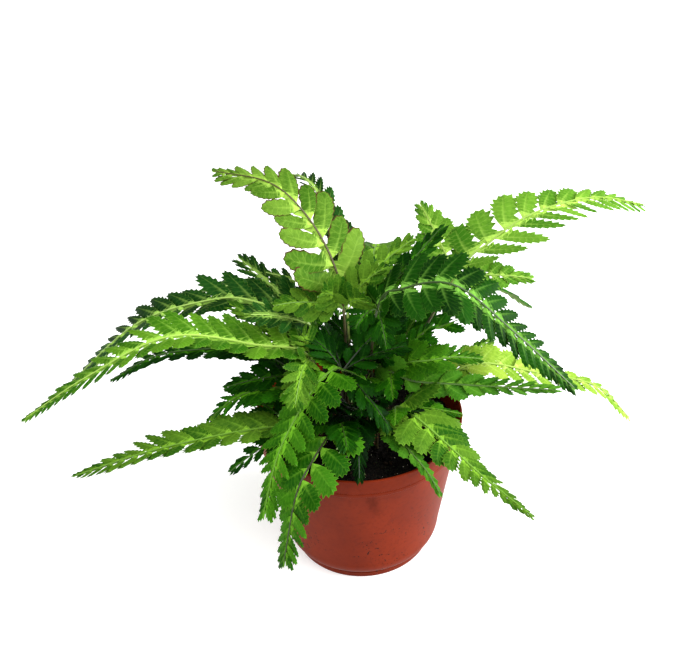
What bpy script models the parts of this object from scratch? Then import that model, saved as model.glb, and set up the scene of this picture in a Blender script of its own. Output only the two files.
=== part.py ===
"""A potted variegated fern, about 37 cm across and 23 cm tall, with each frond cut into leaflets.

Sizes below are millimetres and degrees; the mesh is written in metres with +Z up. The origin is the
centre of the pot's flat base. A frond is one thin body: a stalk, a midrib and leaflets that share
their corners with it. Places on a frond are given round the pot as (heading, reach, height): heading
is 0 to the right, 90 away from the viewer and 270 towards the viewer.
"""

import math

import bmesh
import bpy
import numpy as np
from mathutils import Vector
from mathutils.bvhtree import BVHTree

MM = 0.001

# Pot
RIM_RADIUS = 60.0
POT_HEIGHT = 92.0
WALL = 1.4
BAND_HEIGHT = 13.0
BAND_STEP = 1.0
SHOULDER_TOP = 16.0
SHOULDER_RADIUS = 47.5
FOOT_RADIUS = 42.5
FOOT_HEIGHT = 6.0
FLOOR = 1.6
POT_SIDES = 28
BODY_INSET = 2.6
FOOT_CHAMFER = 0.6
INNER_CORNER = 0.8
RIM_DRAFT = 0.3
BAND_INSIDE = 2.0
SHOULDER_THICKENING = 0.35
DRAIN_HOLES = 6
DRAIN_RADIUS = 3.5
DRAIN_REACH = 27.0
DRAIN_SIDES = 8
CUT_PAST = 3.0
SHARP_FROM = 35

# Soil, which stands off the pot by the gap and lets each stalk into a hole with a little play
SOIL_TOP = 80.0
GAP = 0.3
SOIL_LIFT = 0.2
SOIL_CORNER = 1.8
STALK_DEPTH = 12.0
STALK_PLAY = 0.39

# Stalk and ribs. A stalk is a six-sided bar with a corner to the front and one to the back.
STALK_RADIUS = 1.15
FLAT_WIDE = math.cos(math.radians(30))
FLAT_HALF = math.sin(math.radians(30))
STALK_UPRIGHT = 6.0
STALK_ROLL_FROM = 3.0
STALK_END = 4.0
RIB_HALF_WIDTH = 0.8
RIB_TIP_HALF_WIDTH = 0.45
RIB_HALF_THICK = 0.5
LEAF_HALF_THICK = 0.3
START_HALF_THICK = 0.6
STALK_STATIONS = 4
BRANCH_SEAT = 1.8
BRANCH_STEP = 3.5
BRANCH_SHARE = 0.8
BRANCH_SAMPLES = 20
BRANCH_KEEPS = 0.5
LIGHT = (0.0, -0.5, 0.87)

# How the leaflets change along a rib: the first pair's share of the greatest length, how fast they
# widen, where they are widest, how they taper, and how the pitch shrinks with them
FIRST_PAIR = 0.78
WIDENING = 1.6
WIDEST_AT = 0.12
TAPER_POWER = 1.4
TIP_SHARE = 0.06
CLOSEST_PITCH = 0.45
PITCH_POWER = 0.7
ROW_START = 1.0
ROW_END = 1.5

# How a leaflet that meets another body is turned and shortened, and the room kept round it
CLEARANCE = 0.22
TURNS = (0, 12, -12, 24, -24, 36, -36, 50, -50)
SCALES = (1.0, 0.85, 0.7, 0.55)
SOIL_CLEARANCE = 1.5
RIM_CLEARANCE = 1.5
GUIDE_WALL = 4.5
GUIDE_LOW = 20.0
GUIDE_FLOOR = 30.0

# Leaflet outlines as (outwards, forwards) shares of the leaflet's length and width, from the side near
# the frond's tip round the point to the side near its base. The first has the ear at the base.
EARED_LEAFLET = ((0.20, 0.77), (0.36, 0.60), (0.84, 0.66), (1.0, 0.34), (0.70, -0.21))
ROUND_LEAFLET = ((0.24, 0.76), (0.82, 0.66), (1.0, 0.32), (0.68, -0.21))
PLAIN_LEAFLET = ((0.55, 0.78), (1.0, 0.40), (0.60, -0.18))
TOOTH = ((1.0, 0.5),)
EARED_FROM = 17.0
ROUND_FROM = 12.0
PLAIN_FROM = 6.0
LEAFLET_PLAY = 0.3
WIDTH_OF_LENGTH = 0.7
SEAT_OF_PITCH = 0.36
SEAT_OF_LENGTH = 0.2
DROOP = 0.12
TOOTH_OUT = 0.8
TOOTH_AHEAD = 0.5
LEAN_GAIN = 22

# Each frond: colour, stalk foot (heading, reach), its line from the lowest leaflets to the tip as
# (heading, reach, height), greatest leaflet length, pairs of leaflets, roll about the midrib, fold of
# the two rows, forward lean of the lowest leaflets, and its side branches as (side, tip, rise of the
# middle, leaflet length, pairs). Side +1 is on the left when looking out along the frond.
FRONDS = {
    "frond_top_left": dict(
        colour="pale", foot=(140, 8), half=27, pairs=10, roll=-25, fold=5, lean=26,
        line=((140, 8, 158), (140, 15, 188), (140, 33, 210), (143, 54, 222), (148, 86, 224)),
        branches=((-1, (31, 39, 192), 8, 17, 5), (1, (190, 42, 170), 6, 16, 4)),
    ),
    "frond_behind_top": dict(
        colour="dark", foot=(105, 15), half=19, pairs=10, roll=0, fold=12, lean=34,
        line=((106, 15, 150), (108, 22, 180), (110, 42, 204), (112, 70, 210), (114, 105, 198)),
        branches=((-1, (66, 66, 184), 8, 15, 4), (1, (150, 56, 170), 8, 15, 4)),
    ),
    "frond_left_dark": dict(
        colour="dark", foot=(165, 15), half=29, pairs=14, roll=-20, fold=22, lean=38,
        line=((165, 26, 148), (165, 54, 159), (164, 82, 157), (162, 138, 129), (160, 207, 62)),
        branches=((-1, (150, 72, 174), 4, 17, 5), (1, (196, 56, 170), 4, 15, 4)),
    ),
    "frond_left_under": dict(
        colour="dark", foot=(178, 24), half=19, pairs=10, roll=-15, fold=14, lean=34,
        line=((179, 34, 118), (178, 58, 136), (177, 86, 136), (176, 114, 130), (175, 142, 112)),
        branches=((-1, (160, 74, 124), 4, 13, 4), (1, (192, 72, 124), 4, 13, 4)),
    ),
    "frond_left_light": dict(
        colour="light", foot=(198, 14), half=28, pairs=15, roll=-6, fold=20, lean=38,
        line=((197, 26, 136), (196, 55, 151), (195, 98, 165), (192, 143, 145), (190, 179, 121)),
        branches=((1, (213, 42, 112), 12, 14, 5), (-1, (172, 66, 160), 6, 15, 4)),
    ),
    "frond_low_left": dict(
        colour="mid", foot=(208, 26), half=21, pairs=11, roll=0, fold=22, lean=34,
        line=((207, 40, 97), (204, 66, 103), (200, 98, 102), (197, 125, 97), (195, 160, 88)),
        branches=((1, (213, 84, 90), 3, 10, 4),),
    ),
    "frond_left_inner": dict(
        colour="mid", foot=(190, 20), half=21, pairs=8, roll=-15, fold=6, lean=30,
        line=((192, 27, 106), (193, 40, 117), (194, 56, 120), (194, 70, 117), (194, 84, 107)),
        branches=(),
    ),
    "frond_front_left": dict(
        colour="light", foot=(228, 14), half=20, pairs=12, roll=0, fold=4, lean=34,
        line=((236, 14, 129), (232, 32, 134), (230, 48, 123), (231, 68, 107), (232, 84, 80)),
        branches=((1, (350, 26, 139), 5, 15, 4), (-1, (140, 22, 142), 6, 14, 4)),
    ),
    "frond_front_low": dict(
        colour="mid", foot=(247, 20), half=21, pairs=11, roll=0, fold=4, lean=28,
        line=((248, 26, 106), (247, 42, 107), (246, 60, 105), (244, 77, 94), (241, 88, 54)),
        branches=((-1, (262, 50, 108), 3, 14, 4),),
    ),
    "frond_centre": dict(
        colour="dark", foot=(60, 10), half=21, pairs=8, roll=0, fold=6, lean=32,
        line=((61, 15, 112), (60, 25, 127), (60, 39, 135), (59, 54, 136), (58, 70, 130)),
        branches=((1, (112, 34, 134), 4, 16, 4), (-1, (8, 42, 128), 4, 15, 4)),
    ),
    "frond_front_dark": dict(
        colour="dark", foot=(266, 13), half=17, pairs=7, roll=0, fold=0, lean=28,
        line=((267, 18, 104), (268, 28, 108), (269, 40, 107), (269, 51, 103), (269, 62, 97)),
        branches=(),
    ),
    "frond_front_small": dict(
        colour="pale", foot=(296, 22), half=12, pairs=8, roll=0, fold=0, lean=34,
        line=((297, 24, 100), (298, 38, 103), (299, 56, 101), (300, 69, 97), (300, 80, 91)),
        branches=(),
    ),
    "frond_front_right": dict(
        colour="light", foot=(318, 18), half=23, pairs=11, roll=0, fold=6, lean=28,
        line=((318, 27, 108), (317, 42, 109), (317, 62, 102), (316, 88, 94), (315, 121, 88)),
        branches=((1, (337, 62, 106), 3, 14, 4), (-1, (294, 46, 116), 3, 13, 4)),
    ),
    "frond_right_inner": dict(
        colour="mid", foot=(2, 17), half=18, pairs=8, roll=20, fold=10, lean=34,
        line=((350, 18, 122), (342, 28, 131), (343, 40, 134), (350, 53, 134), (355, 68, 130)),
        branches=((1, (14, 44, 142), 4, 13, 4),),
    ),
    "frond_right_mid": dict(
        colour="mid", foot=(345, 13), half=21, pairs=12, roll=18, fold=10, lean=34,
        line=((20, 9, 120), (335, 18, 126), (334, 33, 123), (344, 54, 120), (353, 111, 112)),
        branches=((1, (32, 26, 134), 4, 14, 4),),
    ),
    "frond_right_dark": dict(
        colour="dark", foot=(335, 5), half=30, pairs=14, roll=25, fold=5, lean=34,
        line=((334, 13, 164), (335, 28, 180), (336, 55, 187), (338, 86, 164), (340, 118, 134)),
        branches=((1, (20, 52, 206), 4, 17, 5), (-1, (296, 34, 158), 6, 15, 4)),
    ),
    "frond_right_pale": dict(
        colour="pale", foot=(6, 26), half=20, pairs=11, roll=16, fold=10, lean=28,
        line=((5, 48, 108), (5, 70, 118), (6, 106, 106), (6, 142, 92), (7, 168, 62)),
        branches=((1, (24, 88, 114), 4, 13, 4),),
    ),
    "frond_top_right": dict(
        colour="pale", foot=(22, 12), half=27, pairs=13, roll=20, fold=6, lean=24,
        line=((21, 60, 166), (20, 80, 184), (20, 106, 196), (20, 144, 198), (20, 181, 186)),
        branches=((1, (56, 72, 192), 3, 15, 5), (-1, (12, 100, 164), 3, 14, 5)),
    ),
    "frond_back_right": dict(
        colour="mid", foot=(50, 24), half=24, pairs=10, roll=0, fold=12, lean=34,
        line=((49, 40, 116), (48, 68, 134), (47, 102, 132), (46, 138, 112), (45, 172, 84)),
        branches=((1, (70, 90, 132), 4, 15, 3), (-1, (28, 92, 130), 4, 15, 3)),
    ),
    "frond_back": dict(
        colour="light", foot=(78, 22), half=25, pairs=11, roll=0, fold=14, lean=34,
        line=((79, 32, 128), (80, 58, 148), (81, 96, 148), (82, 136, 126), (83, 180, 92)),
        branches=((1, (104, 86, 148), 4, 15, 3), (-1, (56, 86, 150), 4, 15, 3)),
    ),
    "frond_back_low": dict(
        colour="mid", foot=(112, 26), half=20, pairs=10, roll=0, fold=14, lean=34,
        line=((112, 42, 106), (112, 70, 116), (111, 104, 110), (110, 138, 92), (109, 168, 64)),
        branches=((1, (132, 90, 114), 4, 14, 3), (-1, (94, 92, 110), 4, 14, 3)),
    ),
    "frond_back_left": dict(
        colour="dark", foot=(142, 24), half=24, pairs=10, roll=0, fold=14, lean=34,
        line=((141, 38, 120), (140, 66, 140), (139, 100, 140), (138, 136, 122), (137, 172, 92)),
        branches=((-1, (118, 90, 140), 4, 15, 3),),
    ),
}

# Base colour of each kind of frond, and of the pot and the soil
COLOURS = {
    "dark": (0.045, 0.16, 0.02),
    "mid": (0.09, 0.27, 0.03),
    "light": (0.16, 0.42, 0.05),
    "pale": (0.26, 0.52, 0.09),
}
POT_COLOUR = (0.26, 0.055, 0.025)
SOIL_COLOUR = (0.012, 0.01, 0.008)
POT_ROUGHNESS = 0.45
SOIL_ROUGHNESS = 0.95
FROND_ROUGHNESS = 0.5


def clear_scene():
    for old in list(bpy.data.objects):
        bpy.data.objects.remove(old, do_unlink=True)


def material(name, colour, roughness):
    made = bpy.data.materials.new(name)
    made.use_nodes = True
    shader = made.node_tree.nodes["Principled BSDF"]
    shader.inputs["Base Color"].default_value = (*colour, 1.0)
    shader.inputs["Roughness"].default_value = roughness
    return made


def add_object(name, mesh, colour, roughness):
    mesh.materials.append(material(name, colour, roughness))
    made = bpy.data.objects.new(name, mesh)
    bpy.context.collection.objects.link(made)
    return made


def place(heading, reach, height):
    """The point at this heading and reach round the pot, in millimetres."""
    turn = math.radians(heading)
    return np.array([reach * math.cos(turn), reach * math.sin(turn), height])


def unit(vector):
    return vector / np.linalg.norm(vector)


# Pot and soil


def wall_radius(height):
    """Outer radius of the body, which tapers from under the band down to the shoulder."""
    top = POT_HEIGHT - BAND_HEIGHT
    share = (height - SHOULDER_TOP) / (top - SHOULDER_TOP)
    return SHOULDER_RADIUS + share * (RIM_RADIUS - BODY_INSET - SHOULDER_RADIUS)


def shoulder(offset):
    """Points round the curved shoulder from the foot up to the body, moved in by the offset."""
    points = []
    for share in (0.0, 0.5, 1.0):
        swing = math.radians(90 * share)
        radius = FOOT_RADIUS + (SHOULDER_RADIUS - FOOT_RADIUS) * math.sin(swing) - offset
        height = FOOT_HEIGHT + (SHOULDER_TOP - FOOT_HEIGHT) * (1 - math.cos(swing))
        points.append((radius, height + SHOULDER_THICKENING * offset * (1 - share)))
    return points


def pot_profile():
    """Half the pot's section, from the middle of the foot round the rim to the middle of the floor."""
    band = POT_HEIGHT - BAND_HEIGHT
    foot = [(0.0, 0.0), (FOOT_RADIUS - FOOT_CHAMFER, 0.0), (FOOT_RADIUS, FOOT_CHAMFER)]
    step = [(wall_radius(band), band), (wall_radius(band) + BAND_STEP, band + BAND_STEP)]
    rim = [(RIM_RADIUS - RIM_DRAFT, POT_HEIGHT), (RIM_RADIUS - WALL, POT_HEIGHT)]
    inside = [(wall_radius(band) - WALL, band - BAND_INSIDE)] + shoulder(WALL)[::-1]
    corner = FOOT_RADIUS - WALL
    floor = [(corner, FLOOR + INNER_CORNER), (corner - INNER_CORNER, FLOOR), (0.0, FLOOR)]
    return foot + shoulder(0.0) + step + rim + inside + floor


def revolve(name, profile):
    """A closed body turned from a profile that starts and ends on the axis."""
    shape = bmesh.new()
    corners = [shape.verts.new((radius * MM, 0.0, height * MM)) for radius, height in profile]
    edges = [shape.edges.new(pair) for pair in zip(corners, corners[1:])]
    bmesh.ops.spin(
        shape,
        geom=corners + edges,
        cent=(0, 0, 0),
        axis=(0, 0, 1),
        angle=2 * math.pi,
        steps=POT_SIDES,
        use_merge=True,
        use_duplicate=False,
    )
    bmesh.ops.remove_doubles(shape, verts=shape.verts, dist=1e-6)
    bmesh.ops.recalc_face_normals(shape, faces=shape.faces)
    mesh = bpy.data.meshes.new(name)
    shape.to_mesh(mesh)
    shape.free()
    return mesh


def cutter(name, prisms):
    """One hidden mesh of upright prisms, each given as (centre, corner offsets, bottom, top)."""
    shape = bmesh.new()
    for centre, offsets, bottom, top in prisms:
        low = [shape.verts.new(Vector((*(centre + step), bottom)) * MM) for step in offsets]
        high = [shape.verts.new(Vector((*(centre + step), top)) * MM) for step in offsets]
        shape.faces.new(low[::-1])
        shape.faces.new(high)
        for k in range(len(low)):
            following = (k + 1) % len(low)
            shape.faces.new((low[k], low[following], high[following], high[k]))
    mesh = bpy.data.meshes.new(name)
    shape.to_mesh(mesh)
    shape.free()
    made = bpy.data.objects.new(name, mesh)
    bpy.context.collection.objects.link(made)
    made.hide_render = True
    made.display_type = "WIRE"
    return made


def cut(body, tool):
    step = body.modifiers.new("holes", "BOOLEAN")
    step.operation = "DIFFERENCE"
    step.solver = "EXACT"
    step.object = tool


def drain_offsets():
    """Corners of a drainage hole round its middle."""
    turns = [2 * math.pi * k / DRAIN_SIDES for k in range(DRAIN_SIDES)]
    return [DRAIN_RADIUS * np.array([math.cos(turn), math.sin(turn)]) for turn in turns]


def build_pot():
    pot = add_object("pot", revolve("pot", pot_profile()), POT_COLOUR, POT_ROUGHNESS)
    pot.data.shade_smooth()
    pot.data.set_sharp_from_angle(angle=math.radians(SHARP_FROM))
    prisms = []
    for k in range(DRAIN_HOLES):
        middle = place(360 * (k + 0.5) / DRAIN_HOLES, DRAIN_REACH, 0)[:2]
        prisms.append((middle, drain_offsets(), -CUT_PAST, FLOOR + CUT_PAST))
    cut(pot, cutter("drain_cutter", prisms))


def soil_profile():
    """The filling follows the inside of the pot with a small gap all round."""
    band = POT_HEIGHT - BAND_HEIGHT
    bottom = FLOOR + GAP
    inner = [(radius - GAP, height + SOIL_LIFT) for radius, height in shoulder(WALL)]
    edge = wall_radius(band) - WALL - GAP
    floor = [(0.0, bottom), (FOOT_RADIUS - WALL - SOIL_CORNER, bottom)]
    return floor + inner + [(edge, band - BAND_INSIDE), (edge, SOIL_TOP), (0.0, SOIL_TOP)]


def build_soil(feet):
    """The soil, with one six-sided hole for each stalk foot (centre, side direction)."""
    soil = add_object("soil", revolve("soil", soil_profile()), SOIL_COLOUR, SOIL_ROUGHNESS)
    prisms = []
    for centre, side in feet:
        offsets = stalk_section(side, STALK_RADIUS + STALK_PLAY)
        prisms.append((centre, offsets, SOIL_TOP - STALK_DEPTH - GAP, SOIL_TOP + CUT_PAST))
    cut(soil, cutter("stalk_cutter", prisms))


def stalk_section(side, radius):
    """Six corners of an upright bar, with its flat sides facing the given direction."""
    across = side[:2] * radius
    along = np.array([-side[1], side[0]]) * radius
    return [
        across * FLAT_WIDE + along * FLAT_HALF,
        along,
        along * FLAT_HALF - across * FLAT_WIDE,
        -across * FLAT_WIDE - along * FLAT_HALF,
        -along,
        across * FLAT_WIDE - along * FLAT_HALF,
    ]


# Fronds


def smooth_line(points, steps=14):
    """Even points on a smooth curve through the given ones."""
    points = np.array(points)
    padded = np.vstack([2 * points[0] - points[1], points, 2 * points[-1] - points[-2]])
    share = np.linspace(0, 1, steps, endpoint=False)[:, None]
    spans = []
    for k in range(len(points) - 1):
        a, b, c, d = padded[k : k + 4]
        curve = 2 * b + (c - a) * share + (2 * a - 5 * b + 4 * c - d) * share**2
        spans.append(0.5 * (curve + (3 * b - a - 3 * c + d) * share**3))
    return np.vstack(spans + [points[-1:]])


class Strand:
    """A line in space with a side and a face direction carried along it."""

    def __init__(self, points, side, roll_from=0.0, roll_to=0.0, roll=0.0):
        self.points = points
        steps = np.linalg.norm(np.diff(points, axis=0), axis=1)
        self.run = np.concatenate([[0.0], np.cumsum(steps)])
        self.length = self.run[-1]
        ahead = np.gradient(points, self.run, axis=0)
        self.ahead = ahead / np.linalg.norm(ahead, axis=1)[:, None]
        sides = []
        for direction in self.ahead:
            side = unit(side - direction * (side @ direction))
            sides.append(side)
        self.sides = np.array(sides)
        self.roll = (roll_from, roll_to, math.radians(roll))

    def at(self, distance):
        """Point, direction, side and face normal at this distance along the line."""

        def read(rows):
            return np.array([np.interp(distance, self.run, column) for column in rows.T])

        ahead = unit(read(self.ahead))
        side = read(self.sides)
        side = unit(side - ahead * (side @ ahead))
        start, end, angle = self.roll
        if angle and distance > start:
            angle *= min(1.0, (distance - start) / max(end - start, 1e-6))
            side = side * math.cos(angle) + np.cross(ahead, side) * math.sin(angle)
        return read(self.points), ahead, side, np.cross(ahead, side)


class Sheet:
    """A thin body: corners with a normal and a half thickness, and triangles between them."""

    def __init__(self):
        self.corners = []
        self.normals = []
        self.halves = []
        self.triangles = []

    def add(self, point, normal, half):
        self.corners.append(point)
        self.normals.append(normal)
        self.halves.append(half)
        return len(self.corners) - 1

    def faces(self, triangles):
        """Both faces of the sheet and the strip that closes its edge."""
        faces = []
        edges = {}
        for a, b, c in triangles:
            faces.append((2 * a, 2 * b, 2 * c))
            faces.append((2 * c + 1, 2 * b + 1, 2 * a + 1))
            for edge in ((a, b), (b, c), (c, a)):
                edges[edge] = True
        for a, b in edges:
            if (b, a) not in edges:
                faces.append((2 * b, 2 * a, 2 * a + 1, 2 * b + 1))
        return faces

    def shell(self):
        points = np.array(self.corners)
        lift = np.array(self.normals) * np.array(self.halves)[:, None]
        both = np.empty((2 * len(points), 3))
        both[0::2] = points + lift
        both[1::2] = points - lift
        return both

    def mesh(self, name):
        made = bpy.data.meshes.new(name)
        made.from_pydata((self.shell() * MM).tolist(), [], self.faces(self.triangles))
        made.update()
        return made


class Obstacles:
    """Bodies already placed, so that a new leaflet can be tested against them."""

    def __init__(self):
        self.trees = []
        self.lows = []
        self.highs = []
        self.owners = []

    def add(self, owner, points, faces):
        self.trees.append(BVHTree.FromPolygons(points.tolist(), faces))
        self.lows.append(points.min(axis=0))
        self.highs.append(points.max(axis=0))
        self.owners.append(owner)

    def hits(self, owner, points, faces):
        """True if the body meets one that grows on another rib."""
        near = np.all(np.array(self.lows) < points.max(axis=0), axis=1)
        near &= np.all(np.array(self.highs) > points.min(axis=0), axis=1)
        found = [k for k in np.nonzero(near)[0] if self.owners[k] is not owner]
        if not len(found):
            return False
        tree = BVHTree.FromPolygons(points.tolist(), faces)
        return any(tree.overlap(self.trees[k]) for k in found)


def blade_width(share):
    """How long the leaflets are at this share of the way from the first pair to the tip."""
    rise = min(1.0, FIRST_PAIR + WIDENING * share)
    fall = 1.0 - max(0.0, (share - WIDEST_AT) / (1 - WIDEST_AT)) ** TAPER_POWER
    return rise * (TIP_SHARE + (1 - TIP_SHARE) * fall)


def pair_places(run, pairs, first, half, samples=60):
    """Where each pair sits along the midrib, closer together as the leaflets get shorter."""
    shares = np.linspace(0, 1, samples)
    pitch = np.array([max(CLOSEST_PITCH, blade_width(share) ** PITCH_POWER) for share in shares])
    counted = np.concatenate([[0], np.cumsum(1 / pitch[:-1])])
    counted = counted / counted[-1] * pairs
    reach = run - first
    places = [first + reach * np.interp(k, counted, shares) for k in range(pairs + 1)]
    return [(a, b, half * blade_width((a - first) / reach)) for a, b in zip(places, places[1:])]


def outline_for(length):
    """Longer leaflets have more corners; the shortest are teeth that join one another."""
    if length >= EARED_FROM:
        return EARED_LEAFLET
    if length >= ROUND_FROM:
        return ROUND_LEAFLET
    return PLAIN_LEAFLET if length >= PLAIN_FROM else TOOTH


class Frond:
    """One frond. The ribs of all the fronds are laid first and the leaflets are added after them."""

    def __init__(self, name, plan):
        self.name = name
        self.plan = plan
        self.sheet = Sheet()
        self.waiting = []
        self.ribs = []
        foot_heading, foot_reach = plan["foot"]
        foot = place(foot_heading, foot_reach, SOIL_TOP - STALK_DEPTH)
        middle = place(foot_heading, foot_reach, SOIL_TOP)
        top = place(foot_heading, foot_reach, SOIL_TOP + STALK_UPRIGHT)
        line = [place(*spot) for spot in plan["line"]]
        out = place(plan["line"][-1][0], 1, 0)
        self.foot = (foot[:2], np.array([-out[1], out[0], 0.0]))
        stalk = smooth_line([foot, middle, top] + line)
        nearest = np.argmin(np.linalg.norm(stalk - line[0], axis=1))
        run = np.concatenate([[0], np.cumsum(np.linalg.norm(np.diff(stalk, axis=0), axis=1))])
        self.blade_start = run[nearest]
        soil = STALK_DEPTH + STALK_ROLL_FROM
        self.main = Strand(stalk, self.foot[1], soil, self.blade_start, plan["roll"])
        self.lay_stalk()
        self.lay_ribs()

    def column(self, strand, distance, half_width, half_thick):
        """The two edge corners of a rib at this distance: left, then right."""
        point, _, side, normal = strand.at(distance)
        left = self.sheet.add(point + side * half_width, normal, half_thick)
        right = self.sheet.add(point - side * half_width, normal, half_thick)
        return left, right

    def lay_stalk(self):
        """The six-sided stalk from its foot in the soil to the start of the blade."""
        add = self.sheet.add
        rows = []
        higher = np.linspace(STALK_DEPTH, self.blade_start - STALK_END, STALK_STATIONS)
        for distance in [0.0, *higher]:
            point, _, side, normal = self.main.at(distance)
            wide = STALK_RADIUS * FLAT_WIDE
            left = add(point + side * wide, normal, STALK_RADIUS * FLAT_HALF)
            middle = add(point, normal, STALK_RADIUS)
            right = add(point - side * wide, normal, STALK_RADIUS * FLAT_HALF)
            rows.append((left, middle, right))
        for (a, b, c), (d, e, f) in zip(rows, rows[1:]):
            self.sheet.triangles += [(a, b, e), (a, e, d), (b, c, f), (b, f, e)]
        left, right = self.column(self.main, self.blade_start, RIB_HALF_WIDTH, START_HALF_THICK)
        a, b, c = rows[-1]
        self.sheet.triangles += [(a, b, left), (b, c, right), (b, right, left)]
        self.start = (left, right)

    def lay_ribs(self):
        """The midrib, then a rib for each side branch, each with places for its leaflets."""
        plan = self.plan
        seats = {}
        edge = self.start
        distance = self.blade_start
        if plan["branches"]:
            distance += BRANCH_SEAT
            following = self.column(self.main, distance, RIB_HALF_WIDTH, RIB_HALF_THICK)
            self.strip(edge, following)
            seats = {1: (edge[0], following[0]), -1: (edge[1], following[1])}
            edge = following
        self.lay_row(self.main, edge, distance, plan["half"], plan["pairs"], plan["fold"])
        self.ribs.append((self.main, list(self.sheet.triangles)))
        for side, tip, rise, half, pairs in plan["branches"]:
            self.lay_branch(side, seats.pop(side), place(*tip), rise, half, pairs)

    def lay_branch(self, side, seat, tip, rise, half, pairs):
        """A side branch that turns its face from the frond's own towards the light."""
        low, high = seat
        middle = (self.sheet.corners[low] + self.sheet.corners[high]) / 2
        _, _, _, normal = self.main.at(self.blade_start + BRANCH_SEAT / 2)
        bend = (middle + tip) / 2 + np.array([0, 0, rise])
        share = np.linspace(0, 1, BRANCH_SAMPLES)[:, None]
        points = middle * (1 - share) ** 2 + 2 * bend * share * (1 - share) + tip * share**2
        face = unit(normal * BRANCH_KEEPS + np.array(LIGHT))
        strand = Strand(points, np.cross(face, unit(points[1] - points[0])))
        edge = (low, high) if side > 0 else (high, low)
        laid = len(self.sheet.triangles)
        width = RIB_HALF_WIDTH * BRANCH_SHARE
        following = self.column(strand, BRANCH_STEP, width, RIB_HALF_THICK * BRANCH_SHARE)
        self.strip(edge, following)
        self.lay_row(strand, following, BRANCH_STEP, half, pairs, self.plan["fold"])
        self.ribs.append((strand, self.sheet.triangles[laid:]))

    def strip(self, edge, following):
        a, b = edge
        c, d = following
        self.sheet.triangles += [(a, b, d), (a, d, c)]

    def lay_row(self, strand, edge, start, half, pairs, fold):
        """A rib from the start to its tip, with a seat for a leaflet on each side of each pair."""
        end = strand.length
        apart = True
        for a, b, length in pair_places(end - ROW_END, pairs, start + ROW_START, half):
            share = (a - start) / (end - start)
            width = RIB_HALF_WIDTH + share * (RIB_TIP_HALF_WIDTH - RIB_HALF_WIDTH)
            thick = RIB_HALF_THICK + share * (LEAF_HALF_THICK - RIB_HALF_THICK)
            pitch = b - a
            if apart:
                following = self.column(strand, a, width, thick)
                self.strip(edge, following)
                edge = following
            apart = length >= ROUND_FROM
            seat_end = a + min(SEAT_OF_PITCH * pitch, SEAT_OF_LENGTH * length) if apart else b
            following = self.column(strand, seat_end, width, thick)
            self.strip(edge, following)
            for side in (1, -1):
                column = 0 if side > 0 else 1
                seat = (edge[column], following[column])
                lean = math.radians(self.plan["lean"] + LEAN_GAIN * share)
                place_on_rib = (strand, seat, a, pitch)
                self.waiting.append((*place_on_rib, length, side, lean, math.radians(fold)))
            edge = following
        tip = self.sheet.add(strand.points[-1], strand.at(end)[3], LEAF_HALF_THICK)
        self.sheet.triangles.append((edge[0], edge[1], tip))

    def rib_bodies(self):
        """Each rib as an obstacle for the leaflets of the others."""
        shell = self.sheet.shell()
        for strand, triangles in self.ribs:
            used = sorted({corner for triangle in triangles for corner in triangle})
            index = {corner: k for k, corner in enumerate(used)}
            points = np.array([shell[2 * corner + lower] for corner in used for lower in (0, 1)])
            faces = self.sheet.faces([tuple(index[corner] for corner in t) for t in triangles])
            yield strand, points, faces

    def fit_leaflet(self, waiting, obstacles):
        """Adds one leaflet, turned or shortened until it stands clear of what is there already."""
        strand, seat, distance, pitch, length, side, lean, fold = waiting
        outline = outline_for(length)
        _, ahead, across, normal = strand.at(distance + SEAT_OF_LENGTH * pitch)
        low, high = (self.sheet.corners[k] for k in seat)
        for scale in SCALES:
            for turn in TURNS:
                angle = fold + math.radians(turn)
                out = across * side * math.cos(angle) + normal * math.sin(angle)
                axis = out * math.cos(lean) + ahead * math.sin(lean)
                face = unit(np.cross(ahead, out)) * side
                reach = length * scale
                width = min(pitch, WIDTH_OF_LENGTH * length) - LEAFLET_PLAY
                points = []
                for outwards, forwards in outline:
                    spot = low + axis * outwards * reach + ahead * forwards * width
                    points.append(spot - face * DROOP * reach * outwards**2)
                if outline is TOOTH:
                    spot = low + out * reach * TOOTH_OUT + ahead * (pitch + reach * TOOTH_AHEAD)
                    points = [spot]
                ring = [low + axis * LEAF_HALF_THICK, high + axis * LEAF_HALF_THICK] + points
                if not self.blocked(strand, ring, face, side, obstacles):
                    self.add_leaflet(points, seat, face, side)
                    return

    def blocked(self, strand, ring, face, side, obstacles):
        """Tests the leaflet, a little thicker and wider, from just off the rib to its point."""
        for x, y, height in ring:
            if height < SOIL_TOP + SOIL_CLEARANCE and math.hypot(x, y) < RIM_RADIUS:
                return True
        centre = sum(ring) / len(ring)
        test = Sheet()
        for point in ring:
            wider = point + unit(point - centre) * CLEARANCE
            test.add(wider, face, LEAF_HALF_THICK + CLEARANCE)
        fan = [(0, k, k + 1) for k in range(1, len(ring) - 1)]
        if side < 0:
            fan = [(a, c, b) for a, b, c in fan]
        shell = test.shell()
        faces = test.faces(fan)
        if obstacles.hits(strand, shell, faces):
            return True
        obstacles.add(strand, shell, faces)
        return False

    def add_leaflet(self, points, seat, face, side):
        low, high = seat
        ring = [low, high] + [self.sheet.add(point, face, LEAF_HALF_THICK) for point in points]
        for k in range(1, len(ring) - 1):
            fan = (ring[0], ring[k], ring[k + 1])
            self.sheet.triangles.append(fan if side > 0 else (fan[0], fan[2], fan[1]))


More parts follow.
